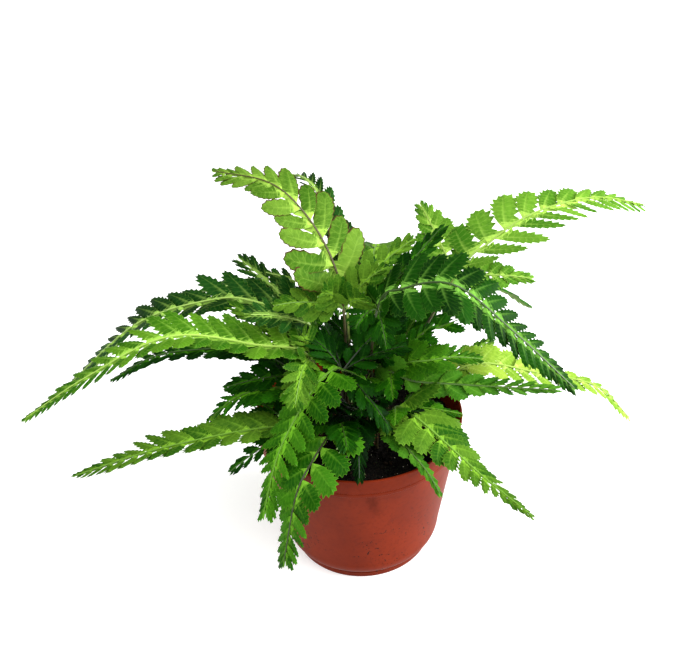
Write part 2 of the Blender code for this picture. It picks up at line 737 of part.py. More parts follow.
def rim_guide():
    """The pot's wall and rim, a little larger all round, for the leaflets to stay clear of."""
    outer = RIM_RADIUS + RIM_CLEARANCE
    top = POT_HEIGHT + RIM_CLEARANCE
    outside = [(0.0, GUIDE_LOW), (outer, GUIDE_LOW), (outer, top)]
    inside = [(outer - GUIDE_WALL, top), (outer - GUIDE_WALL, GUIDE_FLOOR), (0.0, GUIDE_FLOOR)]
    mesh = revolve("rim_guide", outside + inside)
    corners = np.array([corner.co[:] for corner in mesh.vertices]) / MM
    faces = [list(face.vertices) for face in mesh.polygons]
    bpy.data.meshes.remove(mesh)
    return corners, faces


def build_fronds():
    """All the ribs first, then the leaflets pair by pair, so that no frond crosses another."""
    fronds = [Frond(name, plan) for name, plan in FRONDS.items()]
    obstacles = Obstacles()
    obstacles.add(None, *rim_guide())
    for frond in fronds:
        for strand, points, faces in frond.rib_bodies():
            obstacles.add(strand, points, faces)
    for frond in fronds:
        for waiting in frond.waiting:
            frond.fit_leaflet(waiting, obstacles)
        colour = COLOURS[frond.plan["colour"]]
        add_object(frond.name, frond.sheet.mesh(frond.name), colour, FROND_ROUGHNESS)
    return [frond.foot for frond in fronds]


clear_scene()
build_pot()
build_soil(build_fronds())
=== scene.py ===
"""A potted variegated fern: toothed leaflets with forked veins, a moulded pot and crumbly soil.

Sizes are millimetres and degrees; the meshes are in metres with +Z up, and the origin is the centre of
the pot's flat base. Places round the pot are (heading, reach, height): heading is 0 to the right, 90
away from the viewer and 270 towards the viewer.
"""

import math

import bpy
import numpy as np
from mathutils import Matrix, Vector
from mathutils.bvhtree import BVHTree


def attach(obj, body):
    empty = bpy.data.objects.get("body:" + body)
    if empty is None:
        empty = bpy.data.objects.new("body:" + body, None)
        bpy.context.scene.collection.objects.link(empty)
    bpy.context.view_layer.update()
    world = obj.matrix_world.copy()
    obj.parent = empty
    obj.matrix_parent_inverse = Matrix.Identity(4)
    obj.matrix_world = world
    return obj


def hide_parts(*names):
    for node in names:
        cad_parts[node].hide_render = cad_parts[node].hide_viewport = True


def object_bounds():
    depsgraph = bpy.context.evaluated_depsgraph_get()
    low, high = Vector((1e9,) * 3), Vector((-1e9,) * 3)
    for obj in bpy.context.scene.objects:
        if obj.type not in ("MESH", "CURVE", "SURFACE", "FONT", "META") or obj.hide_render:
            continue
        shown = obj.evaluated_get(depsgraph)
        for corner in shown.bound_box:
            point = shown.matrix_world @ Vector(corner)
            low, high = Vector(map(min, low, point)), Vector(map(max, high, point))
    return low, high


MM = 0.001

# Camera
LENS = 46.29
CAMERA_AT = (-0.003, -0.408, 0.417)
CAMERA_PITCH = 33.3
CAMERA_ROLL = -2.2

# Lamps as name, place, aim, size and power, in metres and watts; light of the sky and glow of the floor
LAMPS = (
    ("key", (0.45, -0.35, 1.15), (0, 0, 0.12), 1.0, 15),
    ("fill", (-0.75, -0.45, 0.95), (0, 0, 0.12), 1.0, 7),
    ("side", (0.95, -0.12, 0.35), (0, 0, 0.08), 0.4, 15),
)
SKY = 0.7
FLOOR_GLOW = 0.4

# Pot
RIM_RADIUS = 60.0
POT_HEIGHT = 92.0
WALL = 1.4
BAND_HEIGHT = 13.0
BAND_STEP = 1.0
BODY_INSET = 2.6
SHOULDER_TOP = 16.0
SHOULDER_RADIUS = 47.5
FOOT_RADIUS = 42.5
FOOT_HEIGHT = 6.0
FLOOR = 1.6
SHOULDER_POINTS = 12
CORNER_POINTS = 6
POT_SIDES = 144
POT_SHARP = 32
DRAIN_HOLES = 6
DRAIN_RADIUS = 3.5
DRAIN_REACH = 27.0
DRAIN_SIDES = 28

# Soil
SOIL_TOP = 80.0
GAP = 0.3
SOIL_SIDES = 216
SOIL_RINGS = 78
SOIL_SHARP = 70
SOIL_SEED = 8
NOISE_CELLS = 64
# Its unevenness: height, size of the cells and seed of each noise
SOIL_NOISES = ((0.9, 17, 1), (0.8, 6, 2), (0.7, 2.6, 3), (0.35, 1.2, 4))
# Crumbs, fibres and pale grains on it: count, least and greatest size, form, finish
LUMPS = (
    (1500, (0.35, 1.5), (1, 0.8, 0.65), 0),
    (130, (0.8, 2.6), (1, 0.16, 0.12), 0),
    (260, (0.18, 0.42), (1, 0.8, 0.7), 1),
)
LUMPS_INSET = 6.5

# Stalks, ribs and the brown scales at the foot of each stalk
STALK_DEPTH = 12.0
STALK_UPRIGHT = 6.0
STALK_ROLL_FROM = 3.0
STALK_RADIUS = 1.1
BLADE_RADIUS = 0.72
TIP_RADIUS = 0.22
RIB_SIDES = 8
RIB_STEP = 2.6
GROOVE_DEPTH = 0.3
GROOVE_HALF = 0.45
BRANCH_SEAT = 1.8
BRANCH_OUT = 0.4
BRANCH_STEP = 3.5
BRANCH_SHARE = 0.75
BRANCH_SAMPLES = 20
BRANCH_KEEPS = 0.5
LIGHT = (0.0, -0.5, 0.87)
SCALES_A_STALK = 16
SCALE_PLACES = (0.5, 16)
SCALE_LENGTHS = (2.0, 4.2)
SCALE_LEANS = (0.25, 0.6)
SCALE_AHEAD = 0.8
SCALE_OUT = 0.7
SCALE = ((0, 0, 0), (0.4, 0.16, 0), (1, 0, 0), (0.4, -0.16, 0), (0.4, 0, 0.12), (0.4, 0, -0.12))
SCALE_FACES = ((0, 1, 4), (1, 2, 4), (2, 3, 4), (3, 0, 4), (1, 0, 5), (2, 1, 5), (3, 2, 5), (0, 3, 5))

# How the leaflets change along a rib: their length and spacing
FIRST_PAIR = 0.78
WIDENING = 1.6
WIDEST_AT = 0.12
TIP_SHARE = 0.2
CLOSEST_PITCH = 0.3
PITCH_POWER = 0.65
ROW_START = 1.0
ROW_END = 0.8
STAGGER = 0.3
LENGTH_SPREAD = (0.9, 1.07)
LENGTH_JITTER = (0.95, 1.05)
SHORTER_AHEAD = 0.2

# Shares of a row between which its leaflets become pointed, grow broader and grow together. Rows on side
# branches, and a row that is shorter than its fellow, start to grow together sooner by these shares.
POINTING = (0.35, 0.8)
BROADENING = (0.4, 0.9)
FUSING = (0.68, 0.95)
INNER_FUSED = 0.25
NEAR_FUSED = 0.45
ROUND_OVERLAP = 1.4
POINTED_OVERLAP = 1.05
WIDTH_OF_LENGTH = 0.8
TIP_BROADER = 1.6
TIP_OVERLAP = 0.9

# How the leaflets lean, fold and bend, how thick they are, and the one that a rib ends in
BRANCH_LEAN = (30, 54)
LEAN_POWER = 0.6
LEAN_SPREAD = 5.0
FOLD_SPREAD = 8
DROOP = 0.12
DROOP_SPREAD = (0.6, 0.8)
TILT = 0.16
CUP = 0.10
SICKLE = 0.10
WAVE = 0.022
WAVES = 1.5
MIDVEIN_HALF = 0.2
THICK_LENGTH = 12
THINNEST = 0.45
END_LENGTH = (2.0, 0.16)
END_SEAT = 1.1
END_WIDTH = 0.42

# How a leaflet is turned or shortened until it stands clear, and of what
TURNS = (0, 8, -8, 16, -16, 26, -26, 38, -38)
SHORTER = (1.0, 0.85, 0.7, 0.55, 0.42)
NARROWER = 0.6
CLEARANCE = 0.16
SOIL_CLEARANCE = 1.0
RIM_CLEARANCE = 1.0
BOX_INSET = 1.05

# Half outlines of a leaflet from its base to its point, as (outwards, forwards) shares of its length
# and width: a fan on a narrow base, and a pointed form whose base is as broad as its place on the rib.
# A frond's leaflets lie between the two forms, and those near a tip are the pointed one.
ROUND_FRONT = ((0, 0.04), (0.06, 0.15), (0.20, 0.32), (0.40, 0.45), (0.60, 0.52),
               (0.78, 0.50), (0.90, 0.38), (0.97, 0.20), (1, 0.02))
ROUND_BACK = ((0, -0.04), (0.08, -0.10), (0.24, -0.23), (0.44, -0.34), (0.63, -0.41),
              (0.79, -0.40), (0.90, -0.29), (0.97, -0.13), (1, 0.02))
POINTED_FRONT = ((0, 0.10), (0.01, 0.50), (0.05, 0.84), (0.16, 0.94), (0.34, 0.86),
                 (0.54, 0.78), (0.72, 0.68), (0.88, 0.54), (1, 0.32))
POINTED_BACK = ((0, 0), (0.12, -0.03), (0.28, -0.07), (0.44, -0.09), (0.58, -0.08),
                (0.71, -0.03), (0.83, 0.05), (0.93, 0.16), (1, 0.32))
EAR_AT = 0.15
EAR_HALF = 0.08
FORMS = 4
BREADTH_COUNTS = 0.6
# Leaflets at least this long have so many corners along the margin, two for each tooth
MARGIN_CORNERS = ((13.0, 37), (9.0, 29), (5.5, 19), (0.0, 11))
SCOUT_CORNERS = 9
TOOTH_DEPTH = 0.18
TOOTH_AHEAD = 0.3
TOOTH_RAMP = 0.15
PLAIN_FRONT = 0.2
PLAIN_BACK = 0.28
VEIN_REACH = 0.92
VEIN_POWER = 1.1
VEIN_RISE = (0.06, 0.34)
SEAT_OUT = 0.15
SEAT_SINK = 0.05
# A face's corners the other way round, from a corner of the same diagonal, so that it bends alike
FLIP = [2, 1, 0, 3]

FROND_SHARP = 50
FROND_SEED = 5

# The finishes of a frond, in their order on its mesh; those of the side branches are mostly a darker green,
# painted shade
RIB, UPPER, LOWER, SHADED_UPPER, SHADED_LOWER, SCALES, SHADED_RIB = range(7)

# Colours as 0-255 sRGB: the blade where it is darkest and lightest, the band along the rib, the rib
LOOKS = {
    "deep": ((3, 39, 2), (24, 70, 17), (150, 192, 84), (150, 184, 84)),
    "dark": ((2, 34, 0), (17, 61, 3), (62, 122, 20), (44, 76, 16)),
    "banded": ((2, 34, 0), (19, 64, 4), (108, 162, 60), (46, 70, 24)),
    # The next two looks are greens and ribs darkened as painted shade, for fronds that lie deep inside the
    # plant
    "shade": ((1, 30, 0), (17, 62, 4), (40, 92, 10), (18, 40, 8)),
    "deepest_shade": ((0, 12, 0), (4, 32, 1), (26, 74, 8), (14, 34, 6)),
    "mid": ((6, 52, 0), (36, 93, 8), (84, 144, 26), (66, 104, 24)),
    "green": ((14, 60, 0), (50, 102, 12), (98, 150, 38), (38, 44, 16)),
    "fresh": ((24, 70, 6), (73, 110, 25), (126, 174, 50), (98, 140, 40)),
    "clear": ((13, 60, 0), (49, 101, 10), (102, 162, 36), (86, 132, 30)),
    "bright": ((34, 84, 6), (76, 122, 22), (150, 196, 74), (160, 194, 84)),
    "pale": ((50, 100, 16), (92, 138, 36), (164, 204, 84), (138, 170, 68)),
    "yellow": ((92, 132, 30), (134, 164, 54), (188, 216, 104), (142, 172, 70)),
    "golden": ((50, 90, 14), (93, 129, 38), (150, 188, 74), (66, 60, 24)),
    "round": ((32, 82, 8), (64, 116, 24), (98, 148, 44), (60, 92, 28)),
}

# How strongly the band's colour shows on side veins and margins: in most looks, and in the dark ones
VEIN_TINT = (0.13, 0.05)
EDGE_TINT = (0.32, 0.16)
DARK_LOOKS = ("deep", "dark", "banded", "shade", "deepest_shade", "mid")

# The plans of the fronds. A side is +1 on the left, when looking out along the frond, and -1 on the right.
#   slot, look, inner   slot, greens of LOOKS, and the greens of the side branches where they differ, mostly darker as painted shade
#   foot, line          heading and reach of the stalk's foot; the midrib, from the lowest leaflets to
#                       the tip, as (heading, reach, height)
#   longest, pairs      greatest length of a leaflet, and number of pairs on the midrib
#   taper, tip          how late the leaflets get shorter, and what share of their length is left
#   point, broad        how pointed they are, 0 to 1, and their greatest breadth as a share of length
#   ear, teeth          how far the ear beside the base stands out, and the teeth
#   near                a row of another form: its side, how long beside the usual, its point and broad
#   roll, fold          turn of the blade about the midrib, and rise of both rows from it
#   lean                forward lean of the first and last leaflet of the left row, then of the right
#   branches, sprays    side branches as (side, tip, rise of the middle, longest, pairs); sprays are
#                       short inner ones, whose leaflets come last
USUAL = dict(
    taper=1.4, tip=TIP_SHARE, broad=WIDTH_OF_LENGTH, ear=0, teeth=TOOTH_DEPTH, near=(0, 1, 0, 0),
    roll=0, lean=((36, 58), (36, 58)), branches=(), sprays=(),
)
FRONDS = {
    "frond_top_left": dict(
        slot="frond_pale", look="golden", inner="fresh", foot=(140, 8), longest=29, pairs=12,
        taper=1.8, tip=0.15, point=0.0, broad=0.47, ear=0.7, teeth=0.07, roll=-25, fold=5,
        lean=((18, 42), (32, 54)),
        line=((140, 8, 158), (140, 15, 188), (140, 33, 210), (143, 54, 222), (148, 86, 224)),
        branches=((-1, (31, 39, 192), 8, 17, 7), (1, (190, 42, 170), 6, 16, 6)),
        sprays=((1, (205, 17, 176), 6, 17, 5), (-1, (300, 11, 171), 6, 16, 5),
                (-1, (20, 16, 182), 6, 16, 5)),
    ),
    "frond_behind_top": dict(
        slot="frond_dark", look="deep", foot=(105, 15), longest=15, pairs=13,
        point=0.4, broad=0.45, near=(-1, 1.35, 0.6, 0.8), fold=12, lean=((45, 50), (42, 62)),
        line=((106, 15, 150), (108, 22, 180), (110, 42, 204), (112, 70, 210), (114, 105, 198)),
        branches=((-1, (66, 52, 168), 8, 14, 6), (1, (150, 56, 170), 8, 15, 6)),
    ),
    "frond_left_dark": dict(
        slot="frond_dark", look="deep", foot=(165, 15), longest=27, pairs=20,
        taper=2.2, tip=0.28, point=0.75, near=(1, 0.66, 0.4, 1.2), roll=-20, fold=22,
        lean=((30, 40), (44, 66)),
        line=((165, 26, 148), (165, 54, 159), (164, 82, 157), (162, 138, 129), (160, 207, 62)),
        branches=((-1, (150, 72, 174), 4, 17, 7), (1, (196, 56, 170), 4, 15, 6)),
    ),
    "frond_left_under": dict(
        slot="frond_dark", look="dark", foot=(178, 24), longest=19, pairs=14,
        point=0.6, near=(1, 0.7, 0.4, 1.2), roll=-15, fold=14, lean=((36, 44), (44, 64)),
        line=((179, 34, 118), (178, 58, 136), (177, 86, 136), (176, 114, 130), (175, 142, 112)),
        branches=((-1, (160, 74, 124), 4, 13, 6), (1, (192, 72, 124), 4, 13, 6)),
    ),
    "frond_left_light": dict(
        slot="frond_light", look="bright", inner="fresh", foot=(198, 14), longest=24, pairs=22,
        taper=2.2, tip=0.28, point=0.75, near=(1, 0.62, 0.25, 1.25), roll=-6, fold=20,
        lean=((14, 34), (8, 70)),
        line=((197, 26, 136), (196, 55, 151), (195, 98, 165), (192, 143, 145), (190, 179, 121)),
        branches=((1, (213, 42, 112), 12, 14, 7), (-1, (172, 66, 160), 6, 15, 6)),
        sprays=((1, (196, 30, 150), 8, 17, 5), (1, (231, 52, 130), 12, 16, 7)),
    ),
    "frond_low_left": dict(
        slot="frond_mid", look="fresh", inner="dark", foot=(208, 26), longest=22, pairs=15,
        taper=2.0, tip=0.12, point=0.6, near=(1, 0.6, 0.3, 1.2), fold=22, lean=((26, 38), (38, 60)),
        line=((207, 40, 97), (204, 66, 103), (200, 98, 102), (197, 125, 97), (195, 160, 88)),
        branches=((1, (213, 84, 90), 3, 10, 6),),
        sprays=((-1, (176, 74, 110), 5, 14, 6),),
    ),
    "frond_left_inner": dict(
        slot="frond_mid", look="mid", inner="dark", foot=(190, 20), longest=21, pairs=11,
        point=0.5, roll=-15, fold=6, lean=((42, 50), (12, 58)),
        line=((192, 27, 106), (193, 40, 117), (194, 56, 120), (194, 70, 117), (194, 84, 107)),
        sprays=((1, (224, 52, 108), 5, 15, 6), (-1, (160, 52, 118), 5, 15, 6)),
    ),
    "frond_front_left": dict(
        slot="frond_light", look="clear", inner="shade", foot=(228, 14), longest=22, pairs=13,
        tip=0.42, point=0.6, fold=4, lean=((-14, 44), (12, 58)),
        line=((236, 14, 129), (232, 32, 134), (230, 48, 123), (231, 68, 107), (232, 84, 80)),
        branches=((1, (350, 26, 139), 5, 15, 6), (-1, (140, 22, 142), 6, 14, 6)),
        sprays=((1, (292, 40, 112), 5, 16, 6), (-1, (200, 42, 124), 5, 15, 6), (1, (20, 22, 148), 6, 18, 6),
                (-1, (190, 24, 146), 6, 18, 6)),
    ),
    "frond_front_low": dict(
        slot="frond_mid", look="green", inner="dark", foot=(247, 20), longest=23, pairs=11,
        taper=1.1, tip=0.45, point=0.0, broad=0.66, fold=4, lean=((-4, 52), (28, 62)),
        line=((248, 26, 106), (247, 42, 107), (246, 60, 105), (244, 77, 94), (241, 88, 54)),
        branches=((-1, (262, 50, 108), 3, 14, 6),),
        sprays=((1, (275, 40, 102), 4, 13, 5),),
    ),
    "frond_centre": dict(
        slot="frond_dark", look="shade", foot=(60, 10), longest=21, pairs=11,
        tip=0.3, point=0.35, fold=6, lean=((26, 62), (32, 48)),
        line=((61, 15, 112), (60, 25, 127), (60, 39, 135), (59, 54, 136), (58, 70, 130)),
        branches=((1, (112, 34, 134), 4, 16, 6), (-1, (8, 42, 128), 4, 15, 6)),
        sprays=((-1, (338, 38, 124), 6, 16, 6), (1, (162, 36, 128), 6, 16, 6),
                (-1, (275, 20, 134), 6, 16, 6), (1, (200, 20, 140), 8, 17, 6),
                (-1, (310, 26, 142), 8, 17, 6)),
    ),
    "frond_front_dark": dict(
        slot="frond_dark", look="deepest_shade", foot=(266, 13), longest=17, pairs=9,
        point=0.1, fold=0, lean=((44, 58), (44, 58)),
        line=((267, 18, 104), (268, 28, 108), (269, 40, 107), (269, 51, 103), (269, 62, 97)),
        sprays=((1, (322, 42, 110), 5, 15, 6), (-1, (226, 40, 110), 5, 15, 6),
                (1, (300, 32, 122), 8, 17, 6), (-1, (242, 34, 124), 8, 17, 6),
                (1, (272, 40, 122), 8, 16, 6)),
    ),
    "frond_front_small": dict(
        slot="frond_pale", look="round", inner="dark", foot=(296, 22), longest=12, pairs=10,
        point=0.0, fold=0, lean=((4, 54), (46, 56)),
        line=((297, 24, 100), (298, 38, 103), (299, 56, 101), (300, 69, 97), (300, 80, 91)),
        sprays=((1, (348, 46, 103), 4, 12, 5),),
    ),
    "frond_front_right": dict(
        slot="frond_light", look="fresh", inner="clear", foot=(318, 18), longest=24, pairs=14,
        taper=0.8, tip=0.08, point=0.2, ear=0.25, near=(1, 1.3, 0.3, 0.48), fold=6,
        lean=((34, 58), (-10, 50)),
        line=((318, 27, 108), (317, 42, 109), (317, 62, 102), (316, 88, 94), (315, 121, 88)),
        branches=((1, (337, 62, 106), 3, 14, 6), (-1, (294, 46, 116), 3, 13, 6)),
    ),
    "frond_right_inner": dict(
        slot="frond_mid", look="clear", inner="mid", foot=(2, 17), longest=18, pairs=11,
        point=0.3, roll=20, fold=10, lean=((28, 60), (50, 55)),
        line=((350, 18, 122), (342, 28, 131), (343, 40, 134), (350, 53, 134), (355, 68, 130)),
        branches=((1, (14, 44, 142), 4, 13, 6),),
        sprays=((-1, (300, 36, 126), 5, 16, 6),),
    ),
    "frond_right_mid": dict(
        slot="frond_mid", look="round", inner="clear", foot=(345, 13), longest=19, pairs=13,
        point=0.2, roll=18, fold=10, lean=((44, 60), (46, 62)),
        line=((20, 9, 120), (335, 18, 126), (334, 33, 123), (344, 54, 120), (353, 111, 112)),
        branches=((1, (32, 26, 134), 4, 14, 6),),
        sprays=((-1, (270, 34, 118), 5, 15, 6),),
    ),
    "frond_right_dark": dict(
        slot="frond_dark", look="banded", inner="dark", foot=(335, 5), longest=25, pairs=18,
        point=0.35, near=(-1, 0.95, 0.35, 1.1), roll=25, fold=5, lean=((0, 46), (12, 40)),
        line=((334, 13, 164), (335, 28, 180), (336, 55, 187), (338, 86, 164), (340, 118, 134)),
        branches=((1, (20, 50, 199), 4, 17, 7), (-1, (296, 34, 158), 6, 15, 6)),
        sprays=((1, (74, 30, 160), 6, 16, 6), (-1, (270, 16, 160), 6, 14, 5)),
    ),
    "frond_right_pale": dict(
        slot="frond_pale", look="yellow", inner="fresh", foot=(6, 26), longest=17, pairs=16,
        taper=1.7, point=0.15, ear=0.3, roll=16, fold=10, lean=((34, 62), (34, 42)),
        line=((5, 48, 108), (5, 70, 118), (6, 106, 106), (6, 142, 92), (7, 168, 62)),
        branches=((1, (24, 88, 114), 4, 13, 6),),
    ),
    "frond_top_right": dict(
        slot="frond_pale", look="pale", foot=(22, 12), longest=24, pairs=14,
        taper=1.6, point=0.0, broad=0.7, ear=0.55, near=(-1, 1.2, 0.75, 0.34), roll=20, fold=6,
        lean=((-16, 72), (34, 54)),
        line=((21, 60, 166), (20, 80, 184), (20, 106, 196), (20, 144, 198), (20, 181, 186)),
        branches=((1, (56, 72, 192), 3, 20, 7), (-1, (12, 100, 164), 3, 15, 7)),
    ),
    "frond_back_right": dict(
        slot="frond_mid", look="mid", foot=(50, 24), longest=24, pairs=13,
        point=0.4, fold=12,
        line=((49, 40, 116), (48, 68, 134), (47, 102, 132), (46, 138, 112), (45, 172, 84)),
        branches=((1, (70, 90, 132), 4, 15, 4), (-1, (28, 92, 130), 4, 15, 4)),
    ),
    "frond_back": dict(
        slot="frond_light", look="fresh", foot=(78, 22), longest=25, pairs=15,
        point=0.5, fold=14,
        line=((79, 32, 128), (80, 58, 148), (81, 96, 148), (82, 136, 126), (83, 180, 92)),
        branches=((1, (104, 86, 148), 4, 15, 4), (-1, (56, 86, 150), 4, 15, 4)),
    ),
    "frond_back_low": dict(
        slot="frond_mid", look="mid", foot=(112, 26), longest=20, pairs=13,
        point=0.4, fold=14,
        line=((112, 42, 106), (112, 70, 116), (111, 104, 110), (110, 138, 92), (109, 168, 64)),
        branches=((1, (132, 90, 114), 4, 14, 4), (-1, (94, 92, 110), 4, 14, 4)),
        sprays=((1, (150, 62, 106), 4, 13, 5),),
    ),
    "frond_back_left": dict(
        slot="frond_dark", look="deep", foot=(142, 24), longest=24, pairs=13,
        point=0.5, fold=14,
        line=((141, 38, 120), (140, 66, 140), (139, 100, 140), (138, 136, 122), (137, 172, 92)),
        branches=((-1, (118, 90, 140), 4, 15, 4),),
    ),
}


def place(heading, reach, height):
    """The point at this heading and reach round the pot, in millimetres."""
    turn = math.radians(heading)
    return np.array([reach * math.cos(turn), reach * math.sin(turn), height])


def unit(vectors):
    """The vectors divided by their lengths."""
    return vectors / np.linalg.norm(vectors, axis=-1, keepdims=True)


def eased(values, low, high):
    """0 below low, 1 above high and smooth between them: s s (3 - 2 s)."""
    share = np.clip((values - low) / (high - low), 0, 1)
    return share * share * (3 - 2 * share)


def smooth_line(points, steps=14):
    """Even points on a smooth curve through the given ones, a cubic between each two of them."""
    points = np.array(points, float)
    padded = np.vstack([2 * points[0] - points[1], points, 2 * points[-1] - points[-2]])
    share = np.linspace(0, 1, steps, endpoint=False)[:, None]
    spans = []
    for k in range(len(points) - 1):
        a, b, c, d = padded[k : k + 4]
        curve = 2 * b + (c - a) * share + (2 * a - 5 * b + 4 * c - d) * share**2
        spans.append(0.5 * (curve + (3 * b - a - 3 * c + d) * share**3))
    return np.vstack(spans + [points[-1:]])


def run_along(points):
    """The distance of each point from the first, along the line through them."""
    return np.concatenate([[0.0], np.cumsum(np.linalg.norm(np.diff(points, axis=0), axis=1))])


def value_noise(x, y, cell, seed):
    """Smooth random heights from -1 to 1: a random table read at x/cell and y/cell and blended between."""
    table = np.random.default_rng(seed).uniform(-1, 1, (NOISE_CELLS, NOISE_CELLS))
    column, row = np.floor(x / cell).astype(int), np.floor(y / cell).astype(int)
    u, v = eased(x / cell - column, 0, 1), eased(y / cell - row, 0, 1)
    left, low = column % NOISE_CELLS, row % NOISE_CELLS
    right, high = (column + 1) % NOISE_CELLS, (row + 1) % NOISE_CELLS
    under = table[left, low] * (1 - u) + table[right, low] * u
    over = table[left, high] * (1 - u) + table[right, high] * u
    return under * (1 - v) + over * v


# Meshes


class Skin:
    """Gathers closed surfaces, each face with its finish number, and makes one mesh of them."""

    def __init__(self):
        self.points = []
        self.faces = []
        self.maps = []
        self.notes = []
        self.finishes = []
        self.count = 0

    def add(self, points, face_sets, finish, maps=None, notes=0.0):
        """points (n, 3), face sets each (m, corners), finish one or m numbers, maps (m, corners, 2)."""
        for faces in face_sets:
            self.faces += (faces + self.count).tolist()
            self.finishes.append(np.broadcast_to(finish, len(faces)))
            self.maps.append(np.zeros(2 * faces.size) if maps is None else maps.ravel())
        self.points.append(points)
        self.notes.append(np.broadcast_to(notes, points.shape))
        self.count += len(points)

    def mesh(self, name, materials, sharp):
        """One mesh with these materials, smooth but for edges sharper than so many degrees."""
        made = bpy.data.meshes.new(name)
        made.from_pydata((np.concatenate(self.points) * MM).tolist(), [], self.faces)
        for material in materials:
            made.materials.append(material)
        made.polygons.foreach_set("material_index", np.concatenate(self.finishes).astype(np.int32))
        layer = made.uv_layers.new(name="veins")
        layer.uv.foreach_set("vector", np.concatenate(self.maps).astype(np.float32))
        notes = made.attributes.new("leaf", "FLOAT_VECTOR", "POINT")
        notes.data.foreach_set("vector", np.concatenate(self.notes).astype(np.float32).ravel())
        made.update()
        made.shade_smooth()
        made.set_sharp_from_angle(angle=math.radians(sharp))
        return made


def put(name, data):
    """A new object in the scene with this mesh, lamp or camera."""
    piece = bpy.data.objects.new(name, data)
    bpy.context.scene.collection.objects.link(piece)
    return piece


def show(mesh, node):
    """Puts a mesh in the scene as the piece that stands for a solid."""
    piece = put(node + "_look", mesh)
    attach(piece, "root")
    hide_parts(node)
    return piece


def skinned(count, sides):
    """Faces over rings of points, from the first ring to the last, and a fan to a point past each end."""
    ring, side = np.meshgrid(np.arange(count - 1), np.arange(sides), indexing="ij")
    here, there = ring * sides + side, ring * sides + (side + 1) % sides
    walls = np.stack([here, there, there + sides, here + sides], axis=-1).reshape(-1, 4)
    side, following = np.arange(sides), (np.arange(sides) + 1) % sides
    last = (count - 1) * sides
    low = np.stack([following, side, np.full(sides, count * sides)], axis=-1)
    high = np.stack([last + side, last + following, np.full(sides, count * sides + 1)], axis=-1)
    return walls, np.concatenate([low, high])


def turned(profile, sides):
    """A body of revolution: profile point (radius, height) at every angle, its ends on the axis."""
    angle = np.linspace(0, 2 * math.pi, sides, endpoint=False)
    radius, height = np.array(profile[1:-1]).T
    x, y = radius[:, None] * np.cos(angle), radius[:, None] * np.sin(angle)
    rings = np.stack([x, y, np.broadcast_to(height[:, None], x.shape)], axis=-1).reshape(-1, 3)
    ends = np.array([[0, 0, profile[0][1]], [0, 0, profile[-1][1]]])
    return np.vstack([rings, ends]), skinned(len(radius), sides)


def rounded(corners):
    """A profile whose corners (radius, height, rounding) are replaced by short curves.

    Each curve is the parabola a (1-s)^2 + 2 corner s (1-s) + b s^2 from a rounding before the corner.
    """
    points = []
    for k, (radius, height, rounding) in enumerate(corners):
        corner = np.array([radius, height])
        if not rounding:
            points.append(tuple(corner))
            continue
        before = corner + unit(np.array(corners[k - 1][:2]) - corner) * rounding
        after = corner + unit(np.array(corners[k + 1][:2]) - corner) * rounding
        for s in np.linspace(0, 1, CORNER_POINTS):
            points.append(tuple(before * (1 - s) ** 2 + 2 * corner * s * (1 - s) + after * s**2))
    return points


# Finishes


def shade(red, green, blue):
    """A colour given as 0-255 sRGB, as the linear light that a shader takes."""
    parts = [part / 255 for part in (red, green, blue)]
    return (*[p / 12.92 if p < 0.04 else ((p + 0.055) / 1.055) ** 2.4 for p in parts], 1.0)


class Value:
    """What varies over a surface. Sums and products of numbers add Math nodes to its material."""

    def __init__(self, paint, socket):
        self.paint = paint
        self.socket = socket

    def __add__(self, other):
        return self.paint.math("ADD", self, other)

    def __sub__(self, other):
        return self.paint.math("SUBTRACT", self, other)

    def __rsub__(self, other):
        return self.paint.math("SUBTRACT", other, self)

    def __mul__(self, other):
        return self.paint.math("MULTIPLY", self, other)

    def __abs__(self):
        return self.paint.math("ABSOLUTE", self)

    __radd__ = __add__
    __rmul__ = __mul__


